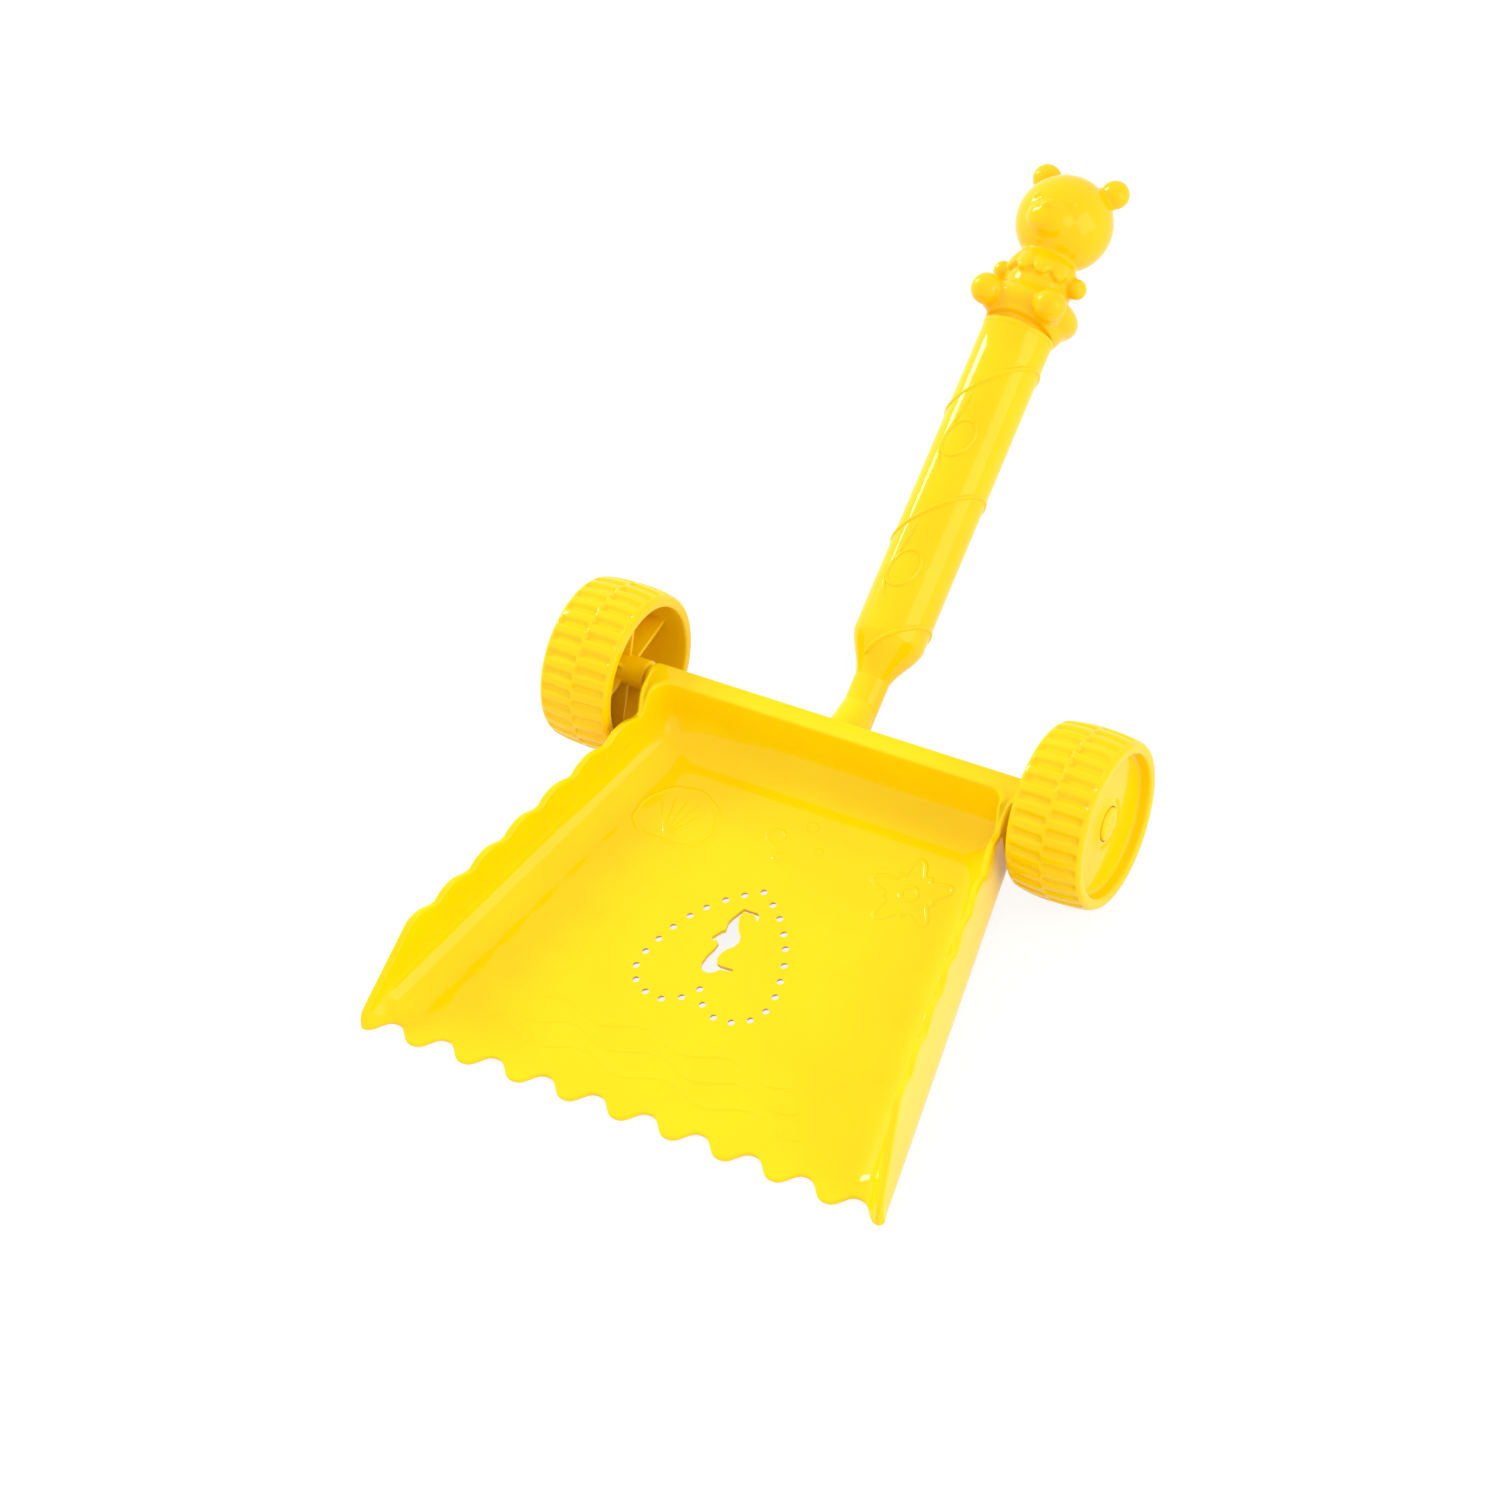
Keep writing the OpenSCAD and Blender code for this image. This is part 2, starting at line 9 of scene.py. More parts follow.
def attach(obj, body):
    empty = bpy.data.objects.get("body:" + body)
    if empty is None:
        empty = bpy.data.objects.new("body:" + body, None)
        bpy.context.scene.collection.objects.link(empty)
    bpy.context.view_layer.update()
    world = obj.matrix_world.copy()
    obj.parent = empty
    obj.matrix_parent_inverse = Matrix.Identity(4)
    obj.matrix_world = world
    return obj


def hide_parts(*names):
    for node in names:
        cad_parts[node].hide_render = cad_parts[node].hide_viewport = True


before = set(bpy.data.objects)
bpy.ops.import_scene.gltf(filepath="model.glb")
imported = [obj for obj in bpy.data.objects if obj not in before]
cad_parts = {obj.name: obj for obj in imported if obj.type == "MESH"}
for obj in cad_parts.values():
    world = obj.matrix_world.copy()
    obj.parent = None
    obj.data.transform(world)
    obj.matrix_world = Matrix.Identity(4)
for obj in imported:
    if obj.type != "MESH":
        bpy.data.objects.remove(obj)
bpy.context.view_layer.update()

MM = 0.001
scene = bpy.context.scene

# Sizes in millimetres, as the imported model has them
FRONT_W = 203.0
BACK_W = 140.6
PAN_LEN = 158.4
FLOOR_T = 1.6
WALL_T = 2.6
BACK_T = 2.4
BACK_H = 26.4
LEDGE_EDGE = 166.1
LEDGE_T = 2.2
LIP_H = 4.0
LIP_T = 1.8
TEETH = 10
TOOTH_SPAN = 200.0
TOOTH_DEPTH = 6.0
FRONT_BOW = 2.1
NOSE_H = 5.0
NOSE_LEN = 25.8
NOSE_ANGLE = 34.4
SCALLOPS = 7
SCALLOP_H = 3.2
SCALLOP_END = 145.4
VALLEY_FRONT = 23.8
VALLEY_BACK = 19.2
POST_RISE = 7.8
AXLE_Y = 165.7
AXLE_Z = 16.7
AXLE_TUBE_R = 4.5
TUBE_END_X = 78.69
WHEEL_R = 30.9
WHEEL_W = 28.0
WHEEL_IN_X = 78.848
HUB_R = 5.6
RIM_IN_R = 25.5
CUP_DEPTH = 21.1
DISC_OUT = 23.3
CAP_IN_X = 102.448
CAP_R = 6.0
HANDLE_ANGLE = 23.0
HANDLE_Z = 12.0
NECK_R = 6.4
NECK_LEN = 26.0
GRIP_R = 13.1
CONE_LEN = 15.0
GRIP_LEN = 123.6
TUBE_END = NECK_LEN + CONE_LEN + GRIP_LEN
TILT = 4.93762
MID_Y = 184.088
HOLE_R = 1.25
HOLE_FLARE = 0.5
HOLE_SIDES = 18
HEART_W = 51.0
HEART_LEN = 53.6
HEART_Y = 50.9
SEA_HORSE_LEN = 29.0
SEA_HORSE_Y = 95.6


# ---------------------------------------------------------------- small maths

def clamp(t, low=0.0, high=1.0):
    return min(high, max(low, t))


def lerp(a, b, t):
    return a + (b - a) * t


def ease(t):
    return (1 - math.cos(math.pi * clamp(t))) / 2


def smooth_step(t):
    t = clamp(t)
    return t * t * (3 - 2 * t)


def turn(degrees, axis):
    return Matrix.Rotation(math.radians(degrees), 4, axis)


def shift(x, y, z):
    return Matrix.Translation((x, y, z))


GROUND = shift(0, -MID_Y, 0) @ turn(TILT, "X")
HANDLE = GROUND @ shift(0, LEDGE_EDGE, HANDLE_Z) @ turn(HANDLE_ANGLE - 90, "X")


def wheel_place(side):
    return (GROUND @ Matrix.Scale(side, 4, (1, 0, 0))
            @ shift(WHEEL_IN_X, AXLE_Y, AXLE_Z) @ turn(90, "Y"))


# ---------------------------------------------------------------- materials

class Wire:
    """A socket whose operators add Math nodes to its material."""

    def __init__(self, finish, socket):
        self.finish = finish
        self.socket = socket

    def reckon(self, operation, *values):
        return self.finish.add("ShaderNodeMath", {"operation": operation}, dict(enumerate(values)))

    def __add__(self, other):
        return self.reckon("ADD", self, other)

    __radd__ = __add__

    def __sub__(self, other):
        return self.reckon("SUBTRACT", self, other)

    def __rsub__(self, other):
        return self.reckon("SUBTRACT", other, self)

    def __mul__(self, other):
        return self.reckon("MULTIPLY", self, other)

    __rmul__ = __mul__


class Finish:
    """One material, with constants on its shader and nodes for what varies."""

    def __init__(self, name, **constants):
        self.material = bpy.data.materials.new(name)
        self.material.use_nodes = True
        self.tree = self.material.node_tree
        self.shader = self.tree.nodes["Principled BSDF"]
        for socket, value in constants.items():
            self.shader.inputs[socket.replace("_", " ")].default_value = value
        self.place = self.add("ShaderNodeTexCoord", output="Object")

    def add(self, kind, settings=None, inputs=None, output=0):
        node = self.tree.nodes.new(kind)
        for name, value in (settings or {}).items():
            if name == "stops":
                ramp = node.color_ramp.elements
                while len(ramp) < len(value):
                    ramp.new(1.0)
                for stop, (at, colour) in zip(ramp, value):
                    stop.position = at
                    stop.color = colour
            else:
                setattr(node, name, value)
        for name, value in (inputs or {}).items():
            if isinstance(value, Wire):
                self.tree.links.new(value.socket, node.inputs[name])
            else:
                node.inputs[name].default_value = value
        return Wire(self, node.outputs[output])

    def noise(self, scale, detail=2.0, roughness=0.5):
        return self.add("ShaderNodeTexNoise", {}, {"Vector": self.place, "Scale": scale,
                                                   "Detail": detail, "Roughness": roughness})

    def stretched(self, scale, detail):
        """Noise drawn out along the axes with a small scale, for lines and marks."""
        drawn = self.add("ShaderNodeMapping", {}, {"Vector": self.place, "Scale": scale})
        return self.add("ShaderNodeTexNoise", {}, {"Vector": drawn, "Scale": 1.0, "Detail": detail})

    def step(self, value, low, high):
        """0 below low and 1 above high, smooth between."""
        return self.add("ShaderNodeMapRange", {"interpolation_type": "SMOOTHSTEP"},
                        {"Value": value, "From Min": low, "From Max": high})

    def blend(self, share, first, second):
        return self.add("ShaderNodeMix", {"data_type": "RGBA"}, {0: share, 6: first, 7: second}, 2)

    def bump(self, height, strength, distance):
        return self.add("ShaderNodeBump", {},
                        {"Strength": strength, "Distance": distance, "Height": height})

    def feed(self, **sockets):
        for name, wire in sockets.items():
            self.tree.links.new(wire.socket, self.shader.inputs[name.replace("_", " ")])
        return self.material


def moulded_plastic(name, bright, deep, roughness, neck=None):
    """Glossy moulded plastic: faint clouding, soft flow waves and fine handling marks.

    A neck's (bright, deep) colours take over gradually from the ledge up to the grip: painted shade,
    darkening the neck towards the grip's deeper yellow.
    """
    finish = Finish(name, IOR=1.46, Specular_IOR_Level=0.02, Coat_Weight=0.5, Coat_Roughness=0.035,
                    Coat_IOR=1.45)
    cloud = finish.noise(38.0, 3.0)
    waves = finish.noise(120.0, 2.0, 0.4)
    grain = finish.noise(1800.0, 3.0, 0.6)
    scuffs = finish.step(finish.stretched((900.0, 60.0, 400.0), 2.0), 0.62, 0.74)
    share = finish.step(cloud, 0.3, 0.7)
    colour = finish.blend(share, bright, deep)
    # Painted shade: the neck turns to the grip's deeper yellow towards the grip
    if neck:
        along = finish.add("ShaderNodeSeparateXYZ", {}, {"Vector": finish.place}, "Y")
        colour = finish.blend(finish.step(along, *NECK_PAINTED_SHADE_FADE), colour, finish.blend(share, *neck))
    rough = roughness + (cloud - 0.5) * 0.05 + scuffs * 0.05
    height = waves * 0.6 + grain * 0.05 - scuffs * 0.03
    return finish.feed(Base_Color=colour, Roughness=rough, Normal=finish.bump(height, 0.12, 0.0006))


def drawn_steel(name):
    """Plain drawn steel: fine lines round and along the bar, with slightly duller patches."""
    finish = Finish(name, Metallic=1.0, IOR=2.5)
    streak = finish.stretched((20.0, 4000.0, 4000.0), 3.0)
    patch = finish.noise(140.0, 3.0)
    colour = finish.blend(patch, (0.56, 0.57, 0.59, 1), (0.42, 0.43, 0.45, 1))
    rough = 0.22 + patch * 0.16 + streak * 0.08
    return finish.feed(Base_Color=colour, Roughness=rough, Normal=finish.bump(streak, 0.25, 0.00005))


# Where the neck's painted shade takes over, in metres along Y
NECK_PAINTED_SHADE_FADE = (-0.014, 0.002)
# The bright and the deep yellow of each moulding; the grip's, the bear's and the wheels' are the
# scoop's plastic made deeper as painted shade, standing in for less light on them
SCOOP_COLOURS = ((1.0, 0.71, 0.0, 1), (1.0, 0.68, 0.0, 1))
GRIP_PAINTED_SHADE_COLOURS = ((1.0, 0.655, 0.0, 1), (1.0, 0.625, 0.0, 1))
BEAR_PAINTED_SHADE_COLOURS = ((1.0, 0.61, 0.0, 1), (1.0, 0.58, 0.0, 1))
WHEEL_PAINTED_SHADE_COLOURS = ((1.0, 0.67, 0.0, 1), (1.0, 0.635, 0.0, 1))
SMOOTH, WORN = 0.22, 0.25

# The grip, bear and wheel finishes are one plastic with painted shade: their deeper yellows stand in
# for less light on them
yellow = moulded_plastic("moulded_yellow_plastic", *SCOOP_COLOURS, SMOOTH, GRIP_PAINTED_SHADE_COLOURS)
grip_painted_shade_yellow = moulded_plastic("grip_plastic_painted_shade", *GRIP_PAINTED_SHADE_COLOURS, SMOOTH)
bear_painted_shade_yellow = moulded_plastic("bear_plastic_painted_shade", *BEAR_PAINTED_SHADE_COLOURS, SMOOTH)
wheel_painted_shade_yellow = moulded_plastic("wheel_plastic_painted_shade", *WHEEL_PAINTED_SHADE_COLOURS, WORN)
steel = drawn_steel("drawn_steel")


# ---------------------------------------------------------------- making pieces

def publish(bm, name, place, body, material, replaced=(), crisp=34.0, merge=True):
    """Turns a mesh in millimetres into a finished piece in the shared frame.

    Edges over crisp degrees stay sharp; merge joins points that lie on each other.
    """
    if merge:
        bmesh.ops.remove_doubles(bm, verts=bm.verts, dist=0.002)
    bmesh.ops.recalc_face_normals(bm, faces=bm.faces)
    bmesh.ops.transform(bm, matrix=Matrix.Scale(MM, 4) @ place, verts=bm.verts)
    if place.determinant() < 0:
        bmesh.ops.recalc_face_normals(bm, faces=bm.faces)
    mesh = bpy.data.meshes.new(name)
    bm.to_mesh(mesh)
    bm.free()
    mesh.polygons.foreach_set("use_smooth", [True] * len(mesh.polygons))
    mesh.set_sharp_from_angle(angle=math.radians(crisp))
    piece = bpy.data.objects.new(name, mesh)
    scene.collection.objects.link(piece)
    mesh.materials.append(material)
    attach(piece, body)
    if replaced:
        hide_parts(*replaced)
    return piece


def start_row(bm, points):
    return [bm.verts.new(p) for p in points]


def row_edges(bm, row, closed=False):
    pairs = list(zip(row, row[1:])) + ([(row[-1], row[0])] if closed else [])
    return [bm.edges.get(pair) or bm.edges.new(pair) for pair in pairs]


def grow(bm, row, points, closed=False):
    """Extrudes a row of vertices by one step and sets the new row on the points."""
    made = bmesh.ops.extrude_edge_only(bm, edges=row_edges(bm, row, closed))["geom"]
    fresh = {item for item in made if isinstance(item, bmesh.types.BMVert)}
    new = [next(e.other_vert(v) for e in v.link_edges if e.other_vert(v) in fresh) for v in row]
    for vert, point in zip(new, points):
        vert.co = point
    return new


def cap_row(bm, row):
    bmesh.ops.contextual_create(bm, geom=row_edges(bm, row, True))


def lathe(bm, outline, steps=64, start=Matrix.Identity(4)):
    """Spins an outline of (radius, height) pairs round Z."""
    row = start_row(bm, [start @ Vector((r, 0, z)) for r, z in outline])
    edges = row_edges(bm, row)
    bmesh.ops.spin(bm, geom=row + edges, cent=start.translation,
                   axis=start.to_3x3() @ Vector((0, 0, 1)), dvec=(0, 0, 0), angle=2 * math.pi,
                   steps=steps, use_merge=True)


def block(bm, centre, size, edge, place=Matrix.Identity(4)):
    """A box with rounded edges."""
    made = bmesh.ops.create_cube(bm, size=1.0,
                                 matrix=place @ shift(*centre) @ Matrix.Diagonal((*size, 1.0)))
    edges = list(dict.fromkeys(e for v in made["verts"] for e in v.link_edges))
    bmesh.ops.bevel(bm, geom=edges, offset=edge, offset_type="OFFSET", segments=2, profile=0.5,
                    affect="EDGES", material=-1, clamp_overlap=True)


def bead(bm, path, radius, sink, up, closed=False, sides=8, flat=1.0):
    """A rounded raised line along a path; up gives the way out of the surface at each point.

    It lies sunk into the surface, is flattened by flat, and tapers at both ends if it's open.
    """
    count = len(path)
    rows = []
    for i, point in enumerate(path):
        before = path[(i - 1) % count] if closed or i > 0 else path[i]
        after = path[(i + 1) % count] if closed or i < count - 1 else path[i]
        ahead = (after - before).normalized()
        out = up(point)
        across = ahead.cross(out).normalized()
        taper = 1.0 if closed else clamp(min(i, count - 1 - i) / 3 + 0.25)
        ring = []
        for k in range(sides):
            a = 2 * math.pi * k / sides
            ring.append(point + across * (radius * taper * math.cos(a))
                        + out * (radius * taper * flat * math.sin(a) - sink))
        rows.append(ring)
    row = first = start_row(bm, rows[0])
    for ring in rows[1:]:
        row = grow(bm, row, ring, True)
    if closed:
        bmesh.ops.bridge_loops(bm, edges=row_edges(bm, row, True) + row_edges(bm, first, True))
    else:
        cap_row(bm, first)
        cap_row(bm, row)


# ---------------------------------------------------------------- the scoop

# The side walls' lean in plan, and the plan directions out of a side wall and out of the back
FLARE = math.atan((FRONT_W - BACK_W) / 2 / PAN_LEN)
SIDE_N = Vector((math.cos(FLARE), math.sin(FLARE)))
BACK_N = Vector((0.0, 1.0))
INNER_LINE = FRONT_W / 2 * math.cos(FLARE) - WALL_T
# The rounded foot of the walls: its height, how its curve eases, and a level run before the floor
FILLET = 11.5
FOOT_EASE = 0.6
FOOT_BENDS = 60
COVE_FLAT = 0.8
# Corner radii in plan: at the floor, at the rim and at the ledge's end
CORNER = 14.4
RIM_CORNER = 5.5
OUT_CORNER = 3.0
LEDGE_END_X = 75.0
# The rims' rounded edges, and the faint dip along the top of the wide ones
EDGE_R = 0.95
RIM_DIP = 0.35
DIP_FROM, DIP_FULL = 2.5, 5.0
LIP_SOFT = 0.5
LIP_ROUND = 0.4
# The teeth and the walls' noses: steeper flanks, rounded tips and the soft start of each scallop
TOOTH_STEEP = 0.6
TIP_DROP = 2.2
TIP_RUN = 1.5
NOSE_DROP = 2.2
NOSE_RUN = 3.0
BUMP_FOOT = 0.35
# How far back the teeth's shape reaches, and where the sections stand square to the side wall
FRONT_FADE = 13.0
FRONT_EASE = 22.0
# Rows and points along the shell
FRONT_STEPS = 200
BACK_STEPS = 24
SCALLOP_STEPS = 10
PROFILE_STEPS = 16
RIM_STEPS = 6
# Sections round the corner: the rim's tight arc starts and ends, the outer arc ends, and the last
RIM_ARC_START, RIM_ARC_END, OUT_ARC_END, CORNER_STEPS = 5, 13, 15, 18
# (outward, height) round the outer bottom edge
OUTER_FOOT = ((-2.0, 0.0), (-0.6, 0.0), (-0.18, 0.18), (0.0, 0.6))
# Rows up the outer wall, as shares of its height
OUTER_SHARES = (0.15, 0.35, 0.55, 0.75, 0.88, 0.96)
# Rows from the front edge back: round the edge in degrees, then in millimetres from it
EDGE_TURNS = (0, 22, 45, 68, 90)
FRONT_ROWS = (2.2, 3.8, 6.0, 9.0)
NOSE_ROWS = (11.2, 13.6, 16.0, 18.4, 20.8, 23.0, 24.6)
# (outward, up) round the rim's outer edge
CORNER_ROUND = ((0.0, -EDGE_R), (-0.12, -0.47), (-0.42, -0.12), (-EDGE_R, 0.0))


def side_x(y):
    """Where the inside of the right wall's rim lies at a distance from the front."""
    return (INNER_LINE - y * SIDE_N.y) / SIDE_N.x


def tooth_front(x):
    """How far the front edge lies behind the foremost line: blunt teeth with steep flanks."""
    x = abs(x)
    if x > TOOTH_SPAN / 2:
        return TIP_DROP * ((x - TOOTH_SPAN / 2) / TIP_RUN) ** 2
    bow = FRONT_BOW * (1 - (2 * x / TOOTH_SPAN) ** 2)
    wave = (1 - math.cos(2 * math.pi * x * TEETH / TOOTH_SPAN)) / 2
    return bow + TOOTH_DEPTH * lerp(wave, smooth_step(wave), TOOTH_STEEP)


def rim_height(y):
    """The rim's height at a distance from the front: nose, scallops and the rise to the ledge."""
    slope = math.tan(math.radians(NOSE_ANGLE))
    if y < SCALLOP_END:
        share = (y - NOSE_LEN) / (SCALLOP_END - NOSE_LEN)
        valley = lerp(VALLEY_FRONT, VALLEY_BACK, share)
        wave = abs(math.sin(math.pi * share * SCALLOPS))
        if wave < BUMP_FOOT:
            wave = wave * wave / (2 * BUMP_FOOT) + BUMP_FOOT / 2
        bump = SCALLOP_H * wave
        nose = NOSE_H + y * slope - NOSE_DROP * max(0.0, 1 - y / NOSE_RUN) ** 2
        return min(nose, valley + bump)
    foot = VALLEY_BACK + SCALLOP_H * BUMP_FOOT / 2
    return lerp(foot, BACK_H, ease((y - SCALLOP_END) / POST_RISE))


def foot_curve():
    """(inward, height) down the wall's rounded foot; its curve eases off towards the floor."""
    rows = [(0.0, 0.0)]
    step = math.pi / 2 / FOOT_BENDS
    for k in range(FOOT_BENDS):
        bend = (k + 0.5) * step
        radius = 1 + FOOT_EASE * (2 * bend / math.pi) ** 2
        inward, drop = rows[-1]
        rows.append((inward + radius * math.sin(bend) * step, drop + radius * math.cos(bend) * step))
    scale = FILLET / rows[-1][1]
    return [(inward * scale, FILLET - drop * scale) for inward, drop in rows]


FOOT = foot_curve()
FOOT_REACH = FOOT[-1][0] + COVE_FLAT


def inner_profile(top):
    """(inward, height) down the wall's inside in even steps; low walls get a low foot."""
    low = clamp(top / FILLET, 0.02)
    line = [(inward, height * low) for inward, height in FOOT]
    if top > FILLET:
        line.insert(0, (0.0, top))
    runs = [0.0]
    for a, b in zip(line, line[1:]):
        runs.append(runs[-1] + math.hypot(b[0] - a[0], b[1] - a[1]))
    rows = []
    k = 0
    for j in range(PROFILE_STEPS + 1):
        at = runs[-1] * j / PROFILE_STEPS
        while k < len(line) - 2 and runs[k + 1] < at:
            k += 1
        share = clamp((at - runs[k]) / (runs[k + 1] - runs[k]))
        rows.append([lerp(u, v, share) for u, v in zip(line[k], line[k + 1])])
    return rows + [(FOOT_REACH, 0.0)]


def chain(p_in, p_out, n_in, n_out, folded, foot=None):
    """The points of one section of the wall, from the bottom over the rim and down to the floor.

    p_in and p_out are the rim's edges in plan, n_in and n_out the ways out of the wall there. A
    folded section is the back's: it goes up the wall, along under the ledge and round its lip.
    """
    z_in, z_out = rim_height(p_in.y), rim_height(p_out.y)
    foot = p_in - n_in * FOOT_REACH if foot is None else foot
    points = []

    def put(plan, normal, out, z):
        flat = plan + normal * out
        points.append(Vector((flat.x, flat.y, z)))

    if folded:
        back = Vector((p_out.x, PAN_LEN + BACK_T))
        for out, z in OUTER_FOOT:
            put(back, n_out, out, z)
        gap = LEDGE_EDGE - LIP_T - PAN_LEN - BACK_T
        high, low = BACK_H - LEDGE_T, BACK_H - LIP_H
        for out, z in ((0.0, high), (gap, high), (gap, low + LIP_SOFT), (gap + LIP_ROUND, low),
                       (LIP_T + gap - LIP_ROUND, low), (LIP_T + gap, low + LIP_SOFT)):
            put(back, n_out, out, z)
    else:
        for out, z in OUTER_FOOT:
            put(p_out, n_out, out, z)
        for share in OUTER_SHARES:
            put(p_out, n_out, 0.0, lerp(OUTER_FOOT[-1][1], z_out - EDGE_R, share))
    for out, up in CORNER_ROUND:
        put(p_out, n_out, out, z_out + up)
    rim_out, rim_in = p_out - n_out * EDGE_R, p_in + n_in * EDGE_R
    dip = RIM_DIP * smooth_step(((rim_in - rim_out).length - DIP_FROM) / (DIP_FULL - DIP_FROM))
    for k in range(1, RIM_STEPS):
        z = lerp(z_out, z_in, k / RIM_STEPS) - (dip if k < RIM_STEPS - 1 else 0.0)
        put(rim_out.lerp(rim_in, k / RIM_STEPS), n_out, 0.0, z)
    for out, up in reversed(CORNER_ROUND[1:]):
        put(p_in, n_in, -out, z_in + up)
    for inward, height in inner_profile(z_in - FLOOR_T - EDGE_R):
        put(p_in.lerp(foot, inward / FOOT_REACH), n_in, 0.0, FLOOR_T + height)
    return points


def side_section(y):
    """The right wall's section at a distance from the front; farther back it's square to it."""
    lean = ease(y / FRONT_EASE)
    normal = Vector((1.0, 0.0)).lerp(SIDE_N, lean).normalized()
    p_in = Vector((side_x(y), y))
    p_out = p_in + normal * (WALL_T / normal.dot(SIDE_N))
    return chain(p_in, p_out, normal, normal, False)


def toothed(place, y):
    """Moves a point near the front back to the toothed edge."""
    fade = clamp(1 - y / FRONT_FADE)
    return Vector((place.x, place.y + tooth_front(place.x) * fade, place.z))


def corner_sections():
    """Sections round the right back corner, which is tight at the rim and wide at the floor."""
    half = (math.pi / 2 - FLARE) / 2
    sharp = Vector((side_x(PAN_LEN), PAN_LEN))
    forward = Vector((SIDE_N.y, -SIDE_N.x))
    wide, tight = CORNER * math.tan(half), RIM_CORNER * math.tan(half)
    centre = sharp + forward * wide - SIDE_N * CORNER
    rim_centre = sharp + forward * tight - SIDE_N * RIM_CORNER
    far_y = LEDGE_EDGE - OUT_CORNER
    far = Vector((LEDGE_END_X - OUT_CORNER, far_y))
    first = sharp + forward * wide + SIDE_N * WALL_T
    spread = far + Vector((OUT_CORNER, 0)) - first
    run_n = Vector((spread.y, -spread.x)).normalized()
    last = far + run_n * OUT_CORNER
    run_angle = math.atan2(run_n.y, run_n.x)
    sections = []
    for i in range(CORNER_STEPS + 1):
        a = lerp(FLARE, math.pi / 2, i / CORNER_STEPS)
        foot = centre + Vector((math.cos(a), math.sin(a))) * (CORNER - FOOT_REACH)
        before = i / RIM_ARC_START
        if i <= RIM_ARC_START:
            p_in, n_in = sharp + forward * lerp(wide, tight, before), SIDE_N
        elif i < RIM_ARC_END:
            b = lerp(FLARE, math.pi / 2, (i - RIM_ARC_START) / (RIM_ARC_END - RIM_ARC_START))
            n_in = Vector((math.cos(b), math.sin(b)))
            p_in = rim_centre + n_in * RIM_CORNER
        else:
            after = (i - RIM_ARC_END) / (CORNER_STEPS - RIM_ARC_END)
            p_in, n_in = sharp - Vector((lerp(tight, wide, after), 0)), BACK_N
        if i <= RIM_ARC_START:
            p_out, n_out = first.lerp(last, before), SIDE_N.lerp(run_n, before).normalized()
        elif i <= OUT_ARC_END:
            b = lerp(run_angle, math.pi / 2, (i - RIM_ARC_START) / (OUT_ARC_END - RIM_ARC_START))
            n_out = Vector((math.cos(b), math.sin(b)))
            p_out = far + n_out * OUT_CORNER
        else:
            after = (i - OUT_ARC_END) / (CORNER_STEPS - OUT_ARC_END)
            p_out, n_out = Vector((lerp(far.x, centre.x, after), LEDGE_EDGE)), BACK_N
        sections.append(chain(p_in, p_out, n_in, n_out, i > OUT_ARC_END, foot))
    return sections, centre.x


def mirror_x(p):
    return Vector((-p.x, p.y, p.z))


def mirrored(section):
    return [mirror_x(p) for p in section]


def hole_loop(bm, points):
    row = start_row(bm, points)
    return row_edges(bm, row, True)


# Half of the heart of holes, as shares of its width and length
HEART = ((0, 1), (0.11, 0.93), (0.21, 0.85), (0.3, 0.75), (0.37, 0.65), (0.43, 0.53), (0.47, 0.41),
         (0.5, 0.29), (0.5, 0.17), (0.44, 0.07), (0.33, 0.01), (0.2, 0), (0.08, 0.06), (0, 0.16))
# The cut-out sea horse, as shares of its length
SEA_HORSE = ((0.145, 0.1), (0.13, 0.04), (0.09, 0), (-0.1, 0), (-0.125, 0.06), (-0.165, 0.17),
             (-0.18, 0.26), (-0.15, 0.36), (-0.185, 0.39), (-0.25, 0.51), (-0.215, 0.56),
             (-0.17, 0.53), (-0.135, 0.57), (-0.14, 0.655), (-0.17, 0.78), (-0.175, 0.9),
             (-0.14, 0.97), (-0.09, 1), (-0.02, 1), (0.04, 0.96), (0.08, 0.905), (0.215, 0.88),
             (0.235, 0.855), (0.21, 0.84), (0.055, 0.85), (0, 0.835), (-0.03, 0.79),
             (-0.03, 0.69), (0.01, 0.61), (0.065, 0.55), (0.095, 0.47), (0.07, 0.39),
             (0.005, 0.32), (-0.05, 0.235), (-0.085, 0.14), (-0.085, 0.045), (0.07, 0.04),
             (0.1, 0.07), (0.12, 0.11))


def floor_holes(wider):
    """The outlines of the holes in the floor, as lists of (x, y); the round ones are wider below."""
    outlines = []
    radius = HOLE_R + wider
    for u, v in HEART:
        for side in ((1,) if u == 0 else (-1, 1)):
            centre = Vector((side * u * HEART_W, HEART_Y + v * HEART_LEN))
            turns = [math.radians(360 * k / HOLE_SIDES) for k in range(HOLE_SIDES)]
            outlines.append([(centre.x + radius * math.cos(a), centre.y + radius * math.sin(a))
                             for a in turns])
    outlines.append([(u * SEA_HORSE_LEN, SEA_HORSE_Y - v * SEA_HORSE_LEN) for u, v in SEA_HORSE])
    return outlines


